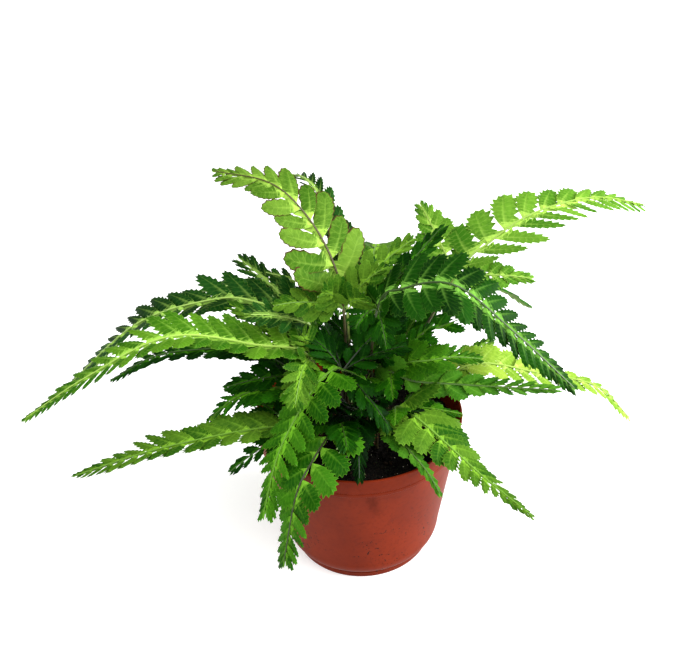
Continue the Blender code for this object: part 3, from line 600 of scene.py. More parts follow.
class Paint:
    """A material: constants on its shader's sockets, and nodes for what varies over the surface."""

    def __init__(self, name, constants):
        self.material = bpy.data.materials.new(name)
        self.material.use_nodes = True
        self.tree = self.material.node_tree
        self.shader = self.tree.nodes["Principled BSDF"]
        for socket, value in constants.items():
            self.shader.inputs[socket].default_value = value
        self.place = Value(self, self.node("ShaderNodeTexCoord", {}, {}).outputs["Object"])

    def node(self, kind, settings, inputs):
        """A node of this type with its settings, then the values or links of its sockets."""
        made = self.tree.nodes.new(kind)
        for setting, value in settings.items():
            setattr(made, setting, value)
        for socket, value in inputs.items():
            if isinstance(value, Value):
                self.tree.links.new(value.socket, made.inputs[socket])
            else:
                made.inputs[socket].default_value = value
        return made

    def math(self, operation, *numbers):
        """The result of a Math node on these numbers."""
        made = self.node("ShaderNodeMath", {"operation": operation}, dict(enumerate(numbers)))
        return Value(self, made.outputs[0])

    def rise(self, value, low, high):
        """0 below low, 1 above high and smooth between them."""
        inputs = {"Value": value, "From Min": low, "From Max": high}
        made = self.node("ShaderNodeMapRange", {"interpolation_type": "SMOOTHSTEP"}, inputs)
        return Value(self, made.outputs["Result"])

    def noise(self, scale, detail=2.0, stretch=None):
        """Smooth random values round 0.5, with this many waves a metre."""
        where = self.place
        if stretch:
            where = Value(self, self.node("ShaderNodeMapping", {}, {0: where, 3: stretch}).outputs[0])
        inputs = {"Vector": where, "Scale": scale, "Detail": detail, "Roughness": 0.6}
        return Value(self, self.node("ShaderNodeTexNoise", {}, inputs).outputs[0])

    def blend(self, factor, first, second):
        """A colour between two colours."""
        inputs = {0: factor, 6: first, 7: second}
        return Value(self, self.node("ShaderNodeMix", {"data_type": "RGBA"}, inputs).outputs[2])

    def parts(self, vector):
        """The three numbers of a vector."""
        made = self.node("ShaderNodeSeparateXYZ", {}, {0: vector})
        return [Value(self, socket) for socket in made.outputs]

    def leaf(self):
        """The numbers kept on a frond's corners: outwards, along the frond and a chance."""
        made = self.node("ShaderNodeAttribute", {"attribute_name": "leaf"}, {})
        return self.parts(Value(self, made.outputs["Vector"]))

    def veins(self):
        """Tooth number along a leaflet's margin, and share of the way from its midvein."""
        made = self.node("ShaderNodeUVMap", {"uv_map": "veins"}, {})
        return self.parts(Value(self, made.outputs[0]))[:2]

    def finish(self, links, relief=None, strength=0.5, height=0.0003):
        """Links colours and numbers to the shader, and a relief through a Bump node."""
        for socket, value in links.items():
            self.tree.links.new(value.socket, self.shader.inputs[socket])
        if relief:
            inputs = {"Strength": strength, "Distance": height, "Height": relief}
            made = self.node("ShaderNodeBump", {}, inputs)
            self.tree.links.new(made.outputs[0], self.shader.inputs["Normal"])
        return self.material


def pot_paint():
    """Satin terracotta-coloured plastic: mottled, with soil smears under the band and low down."""
    paint = Paint("pot_plastic", {"Specular IOR Level": 0.04})
    _, _, height = paint.parts(paint.place)
    cloud = paint.noise(28, 3)
    grain = paint.noise(420, 4)
    colour = paint.blend(paint.rise(cloud, 0.35, 0.7), shade(98, 28, 6), shade(112, 35, 10))
    colour = paint.blend(0.5 * paint.rise(grain, 0.45, 0.75), colour, shade(82, 22, 5))
    smear = paint.rise(paint.noise(60, 4, (1, 1, 0.35)), 0.52, 0.7)
    under = paint.rise(height, 0.050, 0.078) * (1 - paint.rise(height, 0.078, 0.0795))
    foot = 1 - paint.rise(height, 0.003, 0.012)
    colour = paint.blend(0.55 * smear * under + 0.35 * smear * foot, colour, shade(58, 22, 12))
    speck = paint.rise(paint.noise(520, 1), 0.66, 0.69) * paint.rise(paint.noise(45, 1), 0.48, 0.6)
    colour = paint.blend(speck * (1 - paint.rise(height, 0.025, 0.075)), colour, shade(24, 16, 12))
    rough = 0.36 + 0.16 * cloud + 0.25 * smear * under
    return paint.finish({"Base Color": colour, "Roughness": rough}, cloud + 0.3 * grain, 0.12)


def soil_paint():
    """Damp black potting soil: brown-black clods with dry lighter grains."""
    paint = Paint("potting_soil", {"Specular IOR Level": 0.1})
    _, _, chance = paint.leaf()
    grain = paint.noise(700, 4)
    colour = paint.blend(paint.rise(grain, 0.35, 0.75), shade(4, 4, 3), shade(26, 21, 16))
    colour = paint.blend(0.8 * paint.rise(chance, 0.8, 1.0), colour, shade(52, 38, 26))
    return paint.finish({"Base Color": colour, "Roughness": 0.95 - 0.2 * grain}, grain, 0.9, 0.0008)


def grit_paint():
    """Pale mineral grains among the soil."""
    paint = Paint("soil_grit", {"Roughness": 0.8})
    _, _, chance = paint.leaf()
    colour = paint.blend(chance, shade(150, 140, 122), shade(214, 208, 194))
    return paint.finish({"Base Color": colour})


def leaf_paint(name, look, upper):
    """A leaflet's face: a green blade, a paler band along the rib that runs out along the veins.

    Side veins run from the midvein to the tooth tips and fork on the way; the margin is a pale line,
    or a scorched one on the golden frond. The lower face is paler and its veins stand out.
    """
    low, high, band, _ = (shade(*triple) for triple in LOOKS[look])
    paint = Paint(name, {"Roughness": 0.45 if upper else 0.6, "Specular IOR Level": 0.03})
    dark = look in DARK_LOOKS
    tooth, across = paint.veins()
    outwards, along, chance = paint.leaf()
    grain = paint.noise(520, 4)
    cloud = paint.noise(75, 2)
    fork = 0.5 * paint.rise(across, 0.2, 0.75)
    vein = 1 - paint.rise(abs(2 * paint.math("PINGPONG", tooth, 0.5) - fork), 0.0, 0.22)
    midvein = 1 - paint.rise(across, 0.03, 0.13)
    edge = paint.rise(across, 0.88, 0.98)
    colour = paint.blend(paint.rise(0.5 * grain + 0.3 * cloud + 0.35 * chance, 0.35, 0.8), low, high)
    colour = paint.blend(VEIN_TINT[dark] * vein, colour, band)
    reach = outwards - 0.10 * vein - 0.22 * (grain - 0.5) - 0.16 * along
    stripe = (1 - paint.rise(reach, 0.05, 0.2)) * (1 - 0.5 * paint.rise(along, 0.55, 0.85))
    streak = (1 - paint.rise(across, 0.04, 0.3)) * (1 - paint.rise(reach, 0.2, 0.6))
    colour = paint.blend(paint.math("MAXIMUM", stripe, 0.2 * streak), colour, band)
    colour = paint.blend(0.14 * midvein, colour, band)
    colour = paint.blend(EDGE_TINT[dark] * edge, colour, band)
    if look == "golden":
        outer = paint.rise(outwards + 0.8 * paint.noise(160, 2), 0.65, 0.95)
        colour = paint.blend(paint.rise(across, 0.84, 0.95) * outer, colour, shade(62, 38, 22))
    if not upper:
        colour = paint.blend(0.45, colour, shade(150, 176, 110))
    relief = 0.45 * vein + midvein + 0.25 * grain
    return paint.finish({"Base Color": colour}, 1 - relief if upper else relief, 0.5)


def rib_paint(name, look):
    """Stalks and ribs: dark brown near the soil, the look's rib colour up the frond; in the two shaded looks
    that colour is darkened as painted shade.
    """
    rib = shade(*LOOKS[look][3])
    paint = Paint(name, {"Roughness": 0.45, "Specular IOR Level": 0.4})
    _, along, _ = paint.leaf()
    grain = paint.noise(400, 3)
    colour = paint.blend(paint.rise(along + 0.2 * (grain - 0.5), 0.36, 0.56), shade(46, 42, 20), rib)
    return paint.finish({"Base Color": colour}, grain, 0.3)


def scale_paint():
    """The papery brown scales at the foot of each stalk."""
    paint = Paint("stalk_scales", {"Roughness": 0.8, "Specular IOR Level": 0.2})
    colour = paint.blend(paint.noise(900, 2), shade(62, 38, 22), shade(128, 88, 54))
    return paint.finish({"Base Color": colour})


# Pot


def wall_radius(height):
    """Outer radius of the body, which tapers from under the band down to the shoulder."""
    share = (height - SHOULDER_TOP) / (POT_HEIGHT - BAND_HEIGHT - SHOULDER_TOP)
    return SHOULDER_RADIUS + share * (RIM_RADIUS - BODY_INSET - SHOULDER_RADIUS)


def shoulder(inwards):
    """A quarter turn from the foot to the body: radius by the sine and height by the cosine."""
    swing = np.linspace(0, math.pi / 2, SHOULDER_POINTS)
    radius = FOOT_RADIUS + (SHOULDER_RADIUS - FOOT_RADIUS) * np.sin(swing) - inwards
    height = FOOT_HEIGHT + (SHOULDER_TOP - FOOT_HEIGHT) * (1 - np.cos(swing))
    height += inwards * np.linspace(0.3, 0, SHOULDER_POINTS)
    return [(r, h, 0) for r, h in zip(radius, height)]


def pot_profile():
    """Half the pot's section from under the foot, round the rim, to the middle of the floor."""
    band = POT_HEIGHT - BAND_HEIGHT
    under = wall_radius(band)
    side = under + BAND_STEP
    foot = [(0, 0.5, 0), (FOOT_RADIUS - 5, 0.5, 0.3), (FOOT_RADIUS - 4.4, 0, 0.2),
            (FOOT_RADIUS - 0.5, 0, 0.4), (FOOT_RADIUS - 0.1, 3.6, 0), (FOOT_RADIUS - 0.5, 4.0, 0)]
    step = [(under, band - 0.2, 0.1), (side, band + 0.5, 0.3)]
    line = [(side + 0.12, band + 2.6, 0), (side - 0.06, band + 2.9, 0), (side + 0.2, band + 3.2, 0)]
    rim = [(RIM_RADIUS - 0.25, POT_HEIGHT, 0.5), (RIM_RADIUS - WALL - 0.1, POT_HEIGHT, 0.45)]
    inside = [(under - WALL, band - 2, 1.0)] + shoulder(WALL)[::-1]
    floor = [(FOOT_RADIUS - WALL, FLOOR + 1.2, 0.8), (FOOT_RADIUS - WALL - 1.4, FLOOR, 0.6), (0, FLOOR, 0)]
    return rounded(foot + shoulder(0) + step + line + rim + inside + floor)


def build_pot():
    """The turned body with round drainage holes cut through its floor."""
    skin = Skin()
    skin.add(*turned(pot_profile(), POT_SIDES), 0)
    pot = show(skin.mesh("pot_look", [pot_paint()], POT_SHARP), "pot")
    drills = Skin()
    profile = [(0, -2), (DRAIN_RADIUS, -2), (DRAIN_RADIUS, FLOOR + 2), (0, FLOOR + 2)]
    for k in range(DRAIN_HOLES):
        points, faces = turned(profile, DRAIN_SIDES)
        drills.add(points + place(360 * (k + 0.5) / DRAIN_HOLES, DRAIN_REACH, 0), faces, 0)
    drill = put("drill", drills.mesh("drill", [], POT_SHARP))
    cut = pot.modifiers.new("drainage", "BOOLEAN")
    cut.object = drill
    cut.solver = "EXACT"
    bpy.context.view_layer.update()
    drilled = bpy.data.meshes.new_from_object(pot.evaluated_get(bpy.context.evaluated_depsgraph_get()))
    pot.modifiers.clear()
    pot.data = drilled
    drilled.set_sharp_from_angle(angle=math.radians(POT_SHARP))
    bpy.data.objects.remove(drill)


# Soil


def soil_height(x, y):
    """Hills, clods and crumbs: a sum of noises, each finer than the one before, settled at the wall."""
    height = sum(rise * value_noise(x, y, cell, seed) for rise, cell, seed in SOIL_NOISES)
    return SOIL_TOP + height - np.clip(np.hypot(x, y) / 56, 0, 1) ** 6


def lump_form():
    """A 20-sided ball: the corners (0, +-1, +-golden) and their turns, and the faces between near ones."""
    golden = (1 + math.sqrt(5)) / 2
    base = np.array([(0, a, b * golden) for a in (-1, 1) for b in (-1, 1)], float)
    corners = unit(np.vstack([base, np.roll(base, 1, axis=1), np.roll(base, 2, axis=1)]))
    near = np.abs(np.linalg.norm(corners[:, None] - corners, axis=2) - 1.0515) < 0.05
    faces = np.array([(a, b, c) for a in range(12) for b in range(a, 12) for c in range(b, 12)
                      if near[a, b] and near[b, c] and near[a, c]])
    a, b, c = (corners[faces[:, k]] for k in range(3))
    inwards = np.sum(np.cross(b - a, c - a) * a, axis=1) < 0
    faces[inwards] = faces[inwards][:, ::-1]
    return corners, faces


def random_turns(random, count):
    """Random rotations, as matrices of three perpendicular unit vectors."""
    first = unit(random.normal(size=(count, 3)))
    second = unit(np.cross(first, random.normal(size=(count, 3))))
    return np.stack([first, second, np.cross(first, second)], axis=1)


def scatter(skin, random, count, sizes, form, finish):
    """Lumps on the soil: a ball scaled by the form, roughened, turned and set on the surface."""
    corners, faces = lump_form()
    reach = (RIM_RADIUS - LUMPS_INSET) * np.sqrt(random.uniform(0, 1, count))
    heading = random.uniform(0, 2 * math.pi, count)
    x, y = reach * np.cos(heading), reach * np.sin(heading)
    size = random.uniform(*sizes, count)
    shaped = corners * random.uniform(0.72, 1.12, (count, 12, 1)) * np.array(form) * size[:, None, None]
    spots = np.einsum("nij,nkj->nki", random_turns(random, count), shaped)
    spots += np.stack([x, y, soil_height(x, y) + size * 0.25], axis=1)[:, None]
    faces = (faces + 12 * np.arange(count)[:, None, None]).reshape(-1, 3)
    notes = np.repeat(random.uniform(0, 1, (count, 3)), 12, axis=0)
    skin.add(spots.reshape(-1, 3), [faces], finish, notes=notes)


def build_soil():
    """A turned plug under the pot's wall whose top rings are lifted by the soil's height."""
    band = POT_HEIGHT - BAND_HEIGHT
    edge = wall_radius(band) - WALL - GAP
    wall = [(radius - GAP, height + 0.2) for radius, height, _ in shoulder(WALL)]
    floor = [(0, FLOOR + GAP), (FOOT_RADIUS - WALL - 2.2, FLOOR + GAP)]
    top = [(radius, SOIL_TOP) for radius in edge * np.linspace(1, 0.02, SOIL_RINGS)]
    profile = floor + wall + [(edge, band - 2)] + top + [(0, SOIL_TOP)]
    points, faces = turned(profile, SOIL_SIDES)
    upper = points[:, 2] > SOIL_TOP - 0.5
    points[upper, 2] = soil_height(points[upper, 0], points[upper, 1])
    skin = Skin()
    skin.add(points, faces, 0, notes=0.4)
    random = np.random.default_rng(SOIL_SEED)
    for lumps in LUMPS:
        scatter(skin, random, *lumps)
    show(skin.mesh("soil_look", [soil_paint(), grit_paint()], SOIL_SHARP), "soil")


# Fronds


class Strand:
    """A line in space with a side and a face direction carried along it."""

    def __init__(self, points, side, roll_from=0.0, roll_to=1.0, roll=0.0):
        self.points = points
        self.run = run_along(points)
        self.length = self.run[-1]
        self.ahead = unit(np.gradient(points, self.run, axis=0))
        sides = []
        for direction in self.ahead:
            side = unit(side - direction * (side @ direction))
            sides.append(side)
        self.sides = np.array(sides)
        self.roll = (roll_from, roll_to, math.radians(roll))

    def at(self, distances):
        """Points, directions, sides and face normals at these distances along the line."""

        def read(rows):
            return np.stack([np.interp(distances, self.run, column) for column in rows.T], axis=-1)

        ahead = unit(read(self.ahead))
        side = read(self.sides)
        side = unit(side - ahead * np.sum(side * ahead, axis=-1, keepdims=True))
        start, end, angle = self.roll
        turn = angle * np.clip((np.asarray(distances) - start) / (end - start), 0, 1)[..., None]
        side = side * np.cos(turn) + np.cross(ahead, side) * np.sin(turn)
        return read(self.points), ahead, side, np.cross(ahead, side)


class Obstacles:
    """Bodies already placed, so that a new leaflet can be tested against them."""

    def __init__(self):
        self.trees = []
        self.lows = []
        self.highs = []
        self.owners = []

    def add(self, owner, points, faces):
        """Keeps a body, the box round it and the rib that it grows on."""
        self.trees.append(BVHTree.FromPolygons(points.tolist(), faces))
        self.lows.append(points.min(axis=0))
        self.highs.append(points.max(axis=0))
        self.owners.append(owner)

    def hits(self, owner, points, faces):
        """True if the body meets one that grows on another rib."""
        near = np.all(np.array(self.lows) < points.max(axis=0), axis=1)
        near &= np.all(np.array(self.highs) > points.min(axis=0), axis=1)
        found = [k for k in np.nonzero(near)[0] if self.owners[k] is not owner]
        if not found:
            return False
        tree = BVHTree.FromPolygons(points.tolist(), faces)
        return any(tree.overlap(self.trees[k]) for k in found)


def blade_width(share, taper, tip=TIP_SHARE):
    """How long the leaflets are at this share of the way from the first pair to the tip.

    They widen evenly up to 1, times tip + (1 - tip) (1 - past^taper), past being the share of the way
    from the widest place to the tip.
    """
    rise = np.minimum(1.0, FIRST_PAIR + WIDENING * share)
    fall = 1.0 - np.maximum(0.0, (share - WIDEST_AT) / (1 - WIDEST_AT)) ** taper
    return rise * (tip + (1 - tip) * fall)


def pair_places(start, end, pairs, taper):
    """Where each pair sits along a rib: its pitch is a power of the leaflets' length there."""
    shares = np.linspace(0, 1, 80)
    pitch = np.maximum(CLOSEST_PITCH, blade_width(shares, taper) ** PITCH_POWER)
    counted = np.concatenate([[0], np.cumsum(1 / pitch[:-1])])
    return start + (end - start) * np.interp(np.arange(pairs + 1), counted / counted[-1] * pairs, shares)


def tube(strand, distances, radii):
    """A rib or stalk: a circle with a groove on its upper side, carried along the strand.

    At angle q the radius is r (1 - depth exp(-((q - 90 degrees) / half)^2)), so the groove faces up.
    """
    points, _, side, normal = strand.at(distances)
    angle = np.linspace(0, 2 * math.pi, RIB_SIDES, endpoint=False)
    groove = 1 - GROOVE_DEPTH * np.exp(-(((angle - math.pi / 2) / GROOVE_HALF) ** 2))
    across = side[:, None] * np.cos(angle)[:, None] + normal[:, None] * np.sin(angle)[:, None]
    rings = points[:, None] + across * (np.array(radii)[:, None] * groove)[..., None]
    return np.vstack([rings.reshape(-1, 3), points[:1], points[-1:]]), skinned(len(points), RIB_SIDES)


def half_outline(round_form, pointed_form, point, ear, shares):
    """A smooth line through the blended form's points, read at shares of its length.

    An ear adds a bump, ear exp(-((outwards - EAR_AT) / EAR_HALF)^2), beside the base.
    """
    line = smooth_line(np.array(round_form) * (1 - point) + np.array(pointed_form) * point, 8)
    line[:, 1] += ear * (1 - point) * np.exp(-(((line[:, 0] - EAR_AT) / EAR_HALF) ** 2))
    run = run_along(line * (1, BREADTH_COUNTS))
    return np.stack([np.interp(shares * run[-1], run, column) for column in line.T], axis=1)


class LeafletNet:
    """The corners and faces that every leaflet of one size shares, laid flat.

    The midvein runs outwards by reach s^power, and forwards in the pointed form. Vein i runs from it to
    the margin. Every other one ends in a tooth, so it is longer and its end leans forwards; those
    between are shorter by as much, and near the base none differs. The margin is shared by both faces,
    and the midvein has a corner on each.
    """

    def __init__(self, corners, point, ear=0.0, teeth=TOOTH_DEPTH):
        half = corners // 2
        k = np.arange(half + 1)
        tooth = (half - k + 1) % 2
        forward = np.clip((k + TOOTH_AHEAD * tooth) / half, 0, 1)
        front = half_outline(ROUND_FRONT, POINTED_FRONT, point, ear, forward)
        back = half_outline(ROUND_BACK, POINTED_BACK, point, 0.0, forward)
        middle = np.minimum(np.arange(corners), np.arange(corners)[::-1])
        share = middle / half
        plain = np.where(np.arange(corners) <= half, PLAIN_FRONT * (1 - point), PLAIN_BACK)
        toothed = np.clip((share - plain) / TOOTH_RAMP, 0, 1)
        stem = VEIN_REACH * share**VEIN_POWER
        stem = np.stack([stem, point * (VEIN_RISE[0] + VEIN_RISE[1] * stem)], axis=1)
        longer = 1 + teeth * (2 * tooth[middle] - 1) * toothed
        margin = stem + (np.vstack([front, back[-2::-1]]) - stem) * longer[:, None]
        self.flat = np.vstack([margin, stem[: half + 1], stem[1 : half + 1]])
        self.lift = np.repeat([0.0, 1.0, -1.0], [corners, half + 1, half])
        self.lift[corners] = 0.0
        self.across = np.repeat([1.0, 0.0, 0.0], [corners, half + 1, half])
        self.turn = np.concatenate([np.arange(corners), k, k[1:]]) / corners
        self.lay_faces(corners, half, middle)

    def lay_faces(self, corners, half, middle):
        """Upper faces run midvein, margin, margin, midvein and lower faces the other way round."""
        i = np.arange(corners - 1)
        upper = corners + middle
        lower = np.where(middle == 0, corners, corners + half + middle)
        sheets = [np.stack([m[i], i, i + 1, m[i + 1]], axis=-1) for m in (upper, lower)]
        self.faces = np.concatenate([sheets[0], sheets[1][:, FLIP]])
        self.finish = np.repeat([UPPER, LOWER], corners - 1)
        tooth = (i[:, None] + np.array([0, 0, 1, 1]) - half) / 2
        maps = np.stack([tooth, np.broadcast_to([0.0, 1.0, 1.0, 0.0], tooth.shape)], axis=-1)
        self.maps = np.concatenate([maps, maps[:, FLIP]])


def leaflet_space(net, leaves, half_thick=MIDVEIN_HALF):
    """Corners of many leaflets in space, (leaflets, corners, 3).

    With o outwards and f forwards on the flat net, and t the share of the way from the midvein, corner
    i of n is base + length o axis + (width f + sickle length o^2) ahead + lift face. Its lift is
    wave length t^2 sin(2 pi (waves i / n + chance)) - droop length o^2 - tilt width f - cup width t^2,
    where the droop varies with the chance, and half the thickness up or down on the midvein.
    """
    o, f = net.flat.T
    length, width, chance = (leaves[key][:, None] for key in ("length", "width", "chance"))
    base, axis, ahead, face = (leaves[key][:, None] for key in ("base", "axis", "ahead", "face"))
    droop = DROOP * (DROOP_SPREAD[0] + DROOP_SPREAD[1] * chance)
    lift = -(droop * length * o**2 + TILT * width * f + CUP * width * net.across**2)
    lift = lift + WAVE * length * net.across**2 * np.sin(2 * math.pi * (WAVES * net.turn + chance))
    lift = lift + net.lift * half_thick * np.clip(length / THICK_LENGTH, THINNEST, 1)
    spots = base + (length * o)[..., None] * axis + lift[..., None] * face
    return spots + (width * f + SICKLE * length * o**2)[..., None] * ahead


def add_leaflets(skin, net, leaves):
    """Puts leaflets of one size in a frond's mesh; those on the right have their faces turned round."""
    spots = leaflet_space(net, leaves)
    count, corners = spots.shape[:2]
    right = (leaves["side"] < 0)[:, None, None]
    faces = np.where(right, net.faces[:, FLIP], net.faces) + corners * np.arange(count)[:, None, None]
    maps = np.where(right[..., None], net.maps[:, FLIP], net.maps)
    share, chance, inner = (leaves[key][:, None] for key in ("share", "chance", "inner"))
    notes = np.stack(np.broadcast_arrays(net.flat[:, 0], share, chance), axis=-1)
    finish = (net.finish + (SHADED_UPPER - UPPER) * inner).ravel()
    skin.add(spots.reshape(-1, 3), [faces.reshape(-1, 4)], finish, maps, notes.reshape(-1, 3))


class Frond:
    """One frond. The ribs of all the fronds are laid first and the leaflets are added after them."""

    def __init__(self, name, plan, random):
        self.name = name
        self.plan = plan = {**USUAL, "inner": plan["look"], **plan}
        self.random = random
        self.skin = Skin()
        self.waiting = []
        self.ribs = []
        self.grown = []
        heights = (SOIL_TOP - STALK_DEPTH, SOIL_TOP, SOIL_TOP + STALK_UPRIGHT)
        line = [place(*spot) for spot in plan["line"]]
        stalk = smooth_line([place(*plan["foot"], height) for height in heights] + line)
        self.start = run_along(stalk)[np.argmin(np.linalg.norm(stalk - line[0], axis=1))]
        out = place(plan["line"][-1][0], 1, 0)
        side = np.array([-out[1], out[0], 0.0])
        self.main = Strand(stalk, side, STALK_DEPTH + STALK_ROLL_FROM, self.start, plan["roll"])
        self.lay_rib(self.main, (STALK_RADIUS, BLADE_RADIUS, TIP_RADIUS), self.start)
        start = self.start + (BRANCH_SEAT if plan["branches"] else 0)
        self.lay_row(self.main, start, plan["longest"], plan["pairs"], plan["lean"], 0, plan["near"])
        for branch in plan["branches"]:
            self.lay_branch(*branch)
        self.first, self.waiting = self.waiting, []
        for spray in plan["sprays"]:
            self.lay_branch(*spray)

    def lay_rib(self, strand, radii, blade, shares=(0.0, 1.0), finish=RIB):
        """A tube that thins from the stalk to the blade's start and on to the tip."""
        distances = np.linspace(0, strand.length, max(5, round(strand.length / RIB_STEP)))
        points, faces = tube(strand, distances, np.interp(distances, (0, blade, strand.length), radii))
        share = np.interp(distances, (0, max(blade, 1e-3), strand.length), (shares[0], 0.5, shares[1]))
        along = np.concatenate([np.repeat(share, RIB_SIDES), share[[0, -1]]])
        notes = np.stack([np.zeros_like(along), along, np.full_like(along, 0.5)], axis=1)
        self.skin.add(points, faces, finish, notes=notes)
        self.ribs.append((strand, points, [face for face_set in faces for face in face_set.tolist()]))

    def lay_branch(self, side, tip, rise, longest, pairs):
        """A side branch on the arc low (1-s)^2 + 2 bend s (1-s) + tip s^2, which faces the light more."""
        tip = place(*tip)
        point, _, across, normal = self.main.at(self.start + BRANCH_SEAT / 2)
        low = point + across * side * BRANCH_OUT
        bend = (low + tip) / 2 + np.array([0, 0, rise])
        share = np.linspace(0, 1, BRANCH_SAMPLES)[:, None]
        points = low * (1 - share) ** 2 + 2 * bend * share * (1 - share) + tip * share**2
        face = unit(normal * BRANCH_KEEPS + np.array(LIGHT))
        strand = Strand(points, np.cross(face, unit(points[1] - points[0])))
        radius = BLADE_RADIUS * BRANCH_SHARE
        self.lay_rib(strand, (radius, radius, TIP_RADIUS), 0.0, (0.5, 1.0), SHADED_RIB)
        self.lay_row(strand, BRANCH_STEP, longest, pairs, (BRANCH_LEAN, BRANCH_LEAN), 1)

    def lay_row(self, strand, start, longest, pairs, leans, inner, near=USUAL["near"]):
        """Waiting places for the leaflets on both sides of a rib; the right row sits a little on.

        leans holds the forward lean of the first and last leaflet of the left row, then of the right,
        inner is 1 on side branches, and near is the row that has a form of its own. A leaflet is as
        broad as its place along the rib times its overlap, but not too broad for its length. Towards
        the tip the leaflets become pointed and grow together.
        """
        plan, random = self.plan, self.random
        near_side, near_length, near_point, near_broad = near
        end = strand.length - ROW_END
        taper = plan["taper"]
        places = pair_places(start + ROW_START, end, pairs, taper)
        pitch = np.diff(places)
        for side in (1, -1):
            where = places[:-1] + (side < 0) * STAGGER * pitch
            share = np.clip((where - start) / (strand.length - start), 0, 1)
            along = np.clip((where - start - ROW_START) / (end - start - ROW_START), 0, 1)
            length = longest * blade_width(along, taper, plan["tip"])
            length *= random.uniform(*LENGTH_SPREAD, len(where))
            length *= random.uniform(*LENGTH_JITTER, len(where)) * (1 - SHORTER_AHEAD * share)
            point, broad = plan["point"], plan["broad"]
            fused_from = FUSING[0] - INNER_FUSED * inner
            if side == near_side:
                length, point, broad = length * near_length, near_point, near_broad
                fused_from -= NEAR_FUSED if near_length < 1 else 0
            point = np.clip(point + eased(along, *POINTING), 0, 1)
            point = np.round(FORMS * point) / FORMS
            overlap = ROUND_OVERLAP * (1 - point) + POINTED_OVERLAP * point
            overlap *= 1 + TIP_OVERLAP * eased(along, fused_from, FUSING[1])
            broadest = broad * length * (1 + TIP_BROADER * eased(along, *BROADENING))
            width = np.minimum(pitch * overlap, broadest)
            first, last = leans[side < 0]
            lean = first + (last - first) * along**LEAN_POWER
            lean = np.radians(lean + random.uniform(-LEAN_SPREAD, LEAN_SPREAD, len(where)))
            chance = random.uniform(0, 1, len(where))
            rows = zip(where, share, length, width, lean, point, chance)
            self.waiting += [(strand, side, inner, *row) for row in rows]
        self.grown.append(self.end_leaflet(strand, longest, inner))

    def end_leaflet(self, strand, longest, inner):
        """The narrow leaflet that a rib ends in."""
        length = END_LENGTH[0] + END_LENGTH[1] * longest
        base, ahead, across, normal = strand.at(strand.length - END_SEAT * length)
        return dict(base=base, axis=ahead, ahead=across, face=normal, side=-1, length=length,
                    width=END_WIDTH * length, point=0.0, share=0.9, chance=0.5, inner=inner)

    def fit(self, waiting, obstacles, scout):
        """Adds one leaflet, turned or shortened until it stands clear of what is there already."""
        strand, side, inner, where, share, length, width, lean, point, chance = waiting
        spot, ahead, across, normal = strand.at(where)
        for shorter in SHORTER:
            for turn in TURNS:
                angle = math.radians(self.plan["fold"] + turn + FOLD_SPREAD * (chance - 0.5))
                out = across * side * math.cos(angle) + normal * math.sin(angle)
                axis = out * math.cos(lean) + ahead * math.sin(lean)
                square = unit(ahead - axis * math.sin(lean))
                leaf = dict(
                    base=spot + out * (SEAT_OUT - SEAT_SINK * length * point), axis=axis,
                    ahead=unit(square * (1 - point) + ahead * point),
                    face=unit(np.cross(ahead, out)) * side, side=side, length=length * shorter,
                    width=width * (1 - NARROWER + NARROWER * shorter),
                    point=point, share=share, chance=chance, inner=inner,
                )
                if self.clear(strand, leaf, obstacles, scout):
                    self.grown.append(leaf)
                    return

    def clear(self, strand, leaf, obstacles, scout):
        """Tests a plain, slightly thicker leaflet against the box, the soil and the bodies already there."""
        leaves = {key: np.array([value]) for key, value in leaf.items()}
        spots = leaflet_space(scout, leaves, CLEARANCE + MIDVEIN_HALF)[0]
        if np.any(spots < BOX[0] + BOX_INSET) or np.any(spots > BOX[1] - BOX_INSET):
            return False
        reach = np.hypot(spots[:, 0], spots[:, 1])
        if np.any((spots[:, 2] < SOIL_TOP + SOIL_CLEARANCE) & (reach < RIM_RADIUS)):
            return False
        faces = scout.faces.tolist()
        if obstacles.hits(strand, spots, faces):
            return False
        obstacles.add(strand, spots, faces)
        return True

    def add_scales(self):
        """Papery scales up the stalk's foot, each a lens of six corners on a short axis that leans out.

        Corner = base + length (a axis + b across) + c normal for the rows (a, b, c) of SCALE.
        """
        random, count = self.random, SCALES_A_STALK
        spots, ahead, side, face = self.main.at(STALK_DEPTH + random.uniform(*SCALE_PLACES, count))
        angle = random.uniform(0, 2 * math.pi, count)[:, None]
        out = side * np.cos(angle) + face * np.sin(angle)
        across = np.cross(ahead, out)
        axis = ahead * SCALE_AHEAD + out * random.uniform(*SCALE_LEANS, count)[:, None]
        length = random.uniform(*SCALE_LENGTHS, count)[:, None]
        a, b, c = np.array(SCALE, float).T[..., None, None]
        corners = spots + out * SCALE_OUT + length * a * axis + length * b * across
        corners = corners + c * np.cross(axis, across)
        faces = np.array(SCALE_FACES) + 6 * np.arange(count)[:, None, None]
        self.skin.add(corners.transpose(1, 0, 2).reshape(-1, 3), [faces.reshape(-1, 3)], SCALES)

    def build(self):
        """Every leaflet with the net for its length, in one mesh with the stalk and ribs."""
        kinds = {}
        for leaf in self.grown:
            corners = next(corners for least, corners in MARGIN_CORNERS if leaf["length"] >= least)
            kinds.setdefault((corners, leaf["point"]), []).append(leaf)
        for (corners, point), grown in kinds.items():
            leaves = {key: np.array([leaf[key] for leaf in grown]) for key in grown[0]}
            net = LeafletNet(corners, point, self.plan["ear"], self.plan["teeth"])
            add_leaflets(self.skin, net, leaves)
        self.add_scales()
        look, inner = self.plan["look"], self.plan["inner"]
        paints = [PAINTS[look, part] for part in ("rib", "upper", "lower")]
        # The side branches take the inner look, mostly a darker green: painted shade for leaflets deep in
        # the plant
        paints += [PAINTS[inner, "upper"], PAINTS[inner, "lower"], PAINTS["scales"], PAINTS[inner, "rib"]]
        show(self.skin.mesh(self.name + "_look", paints, FROND_SHARP), self.name)


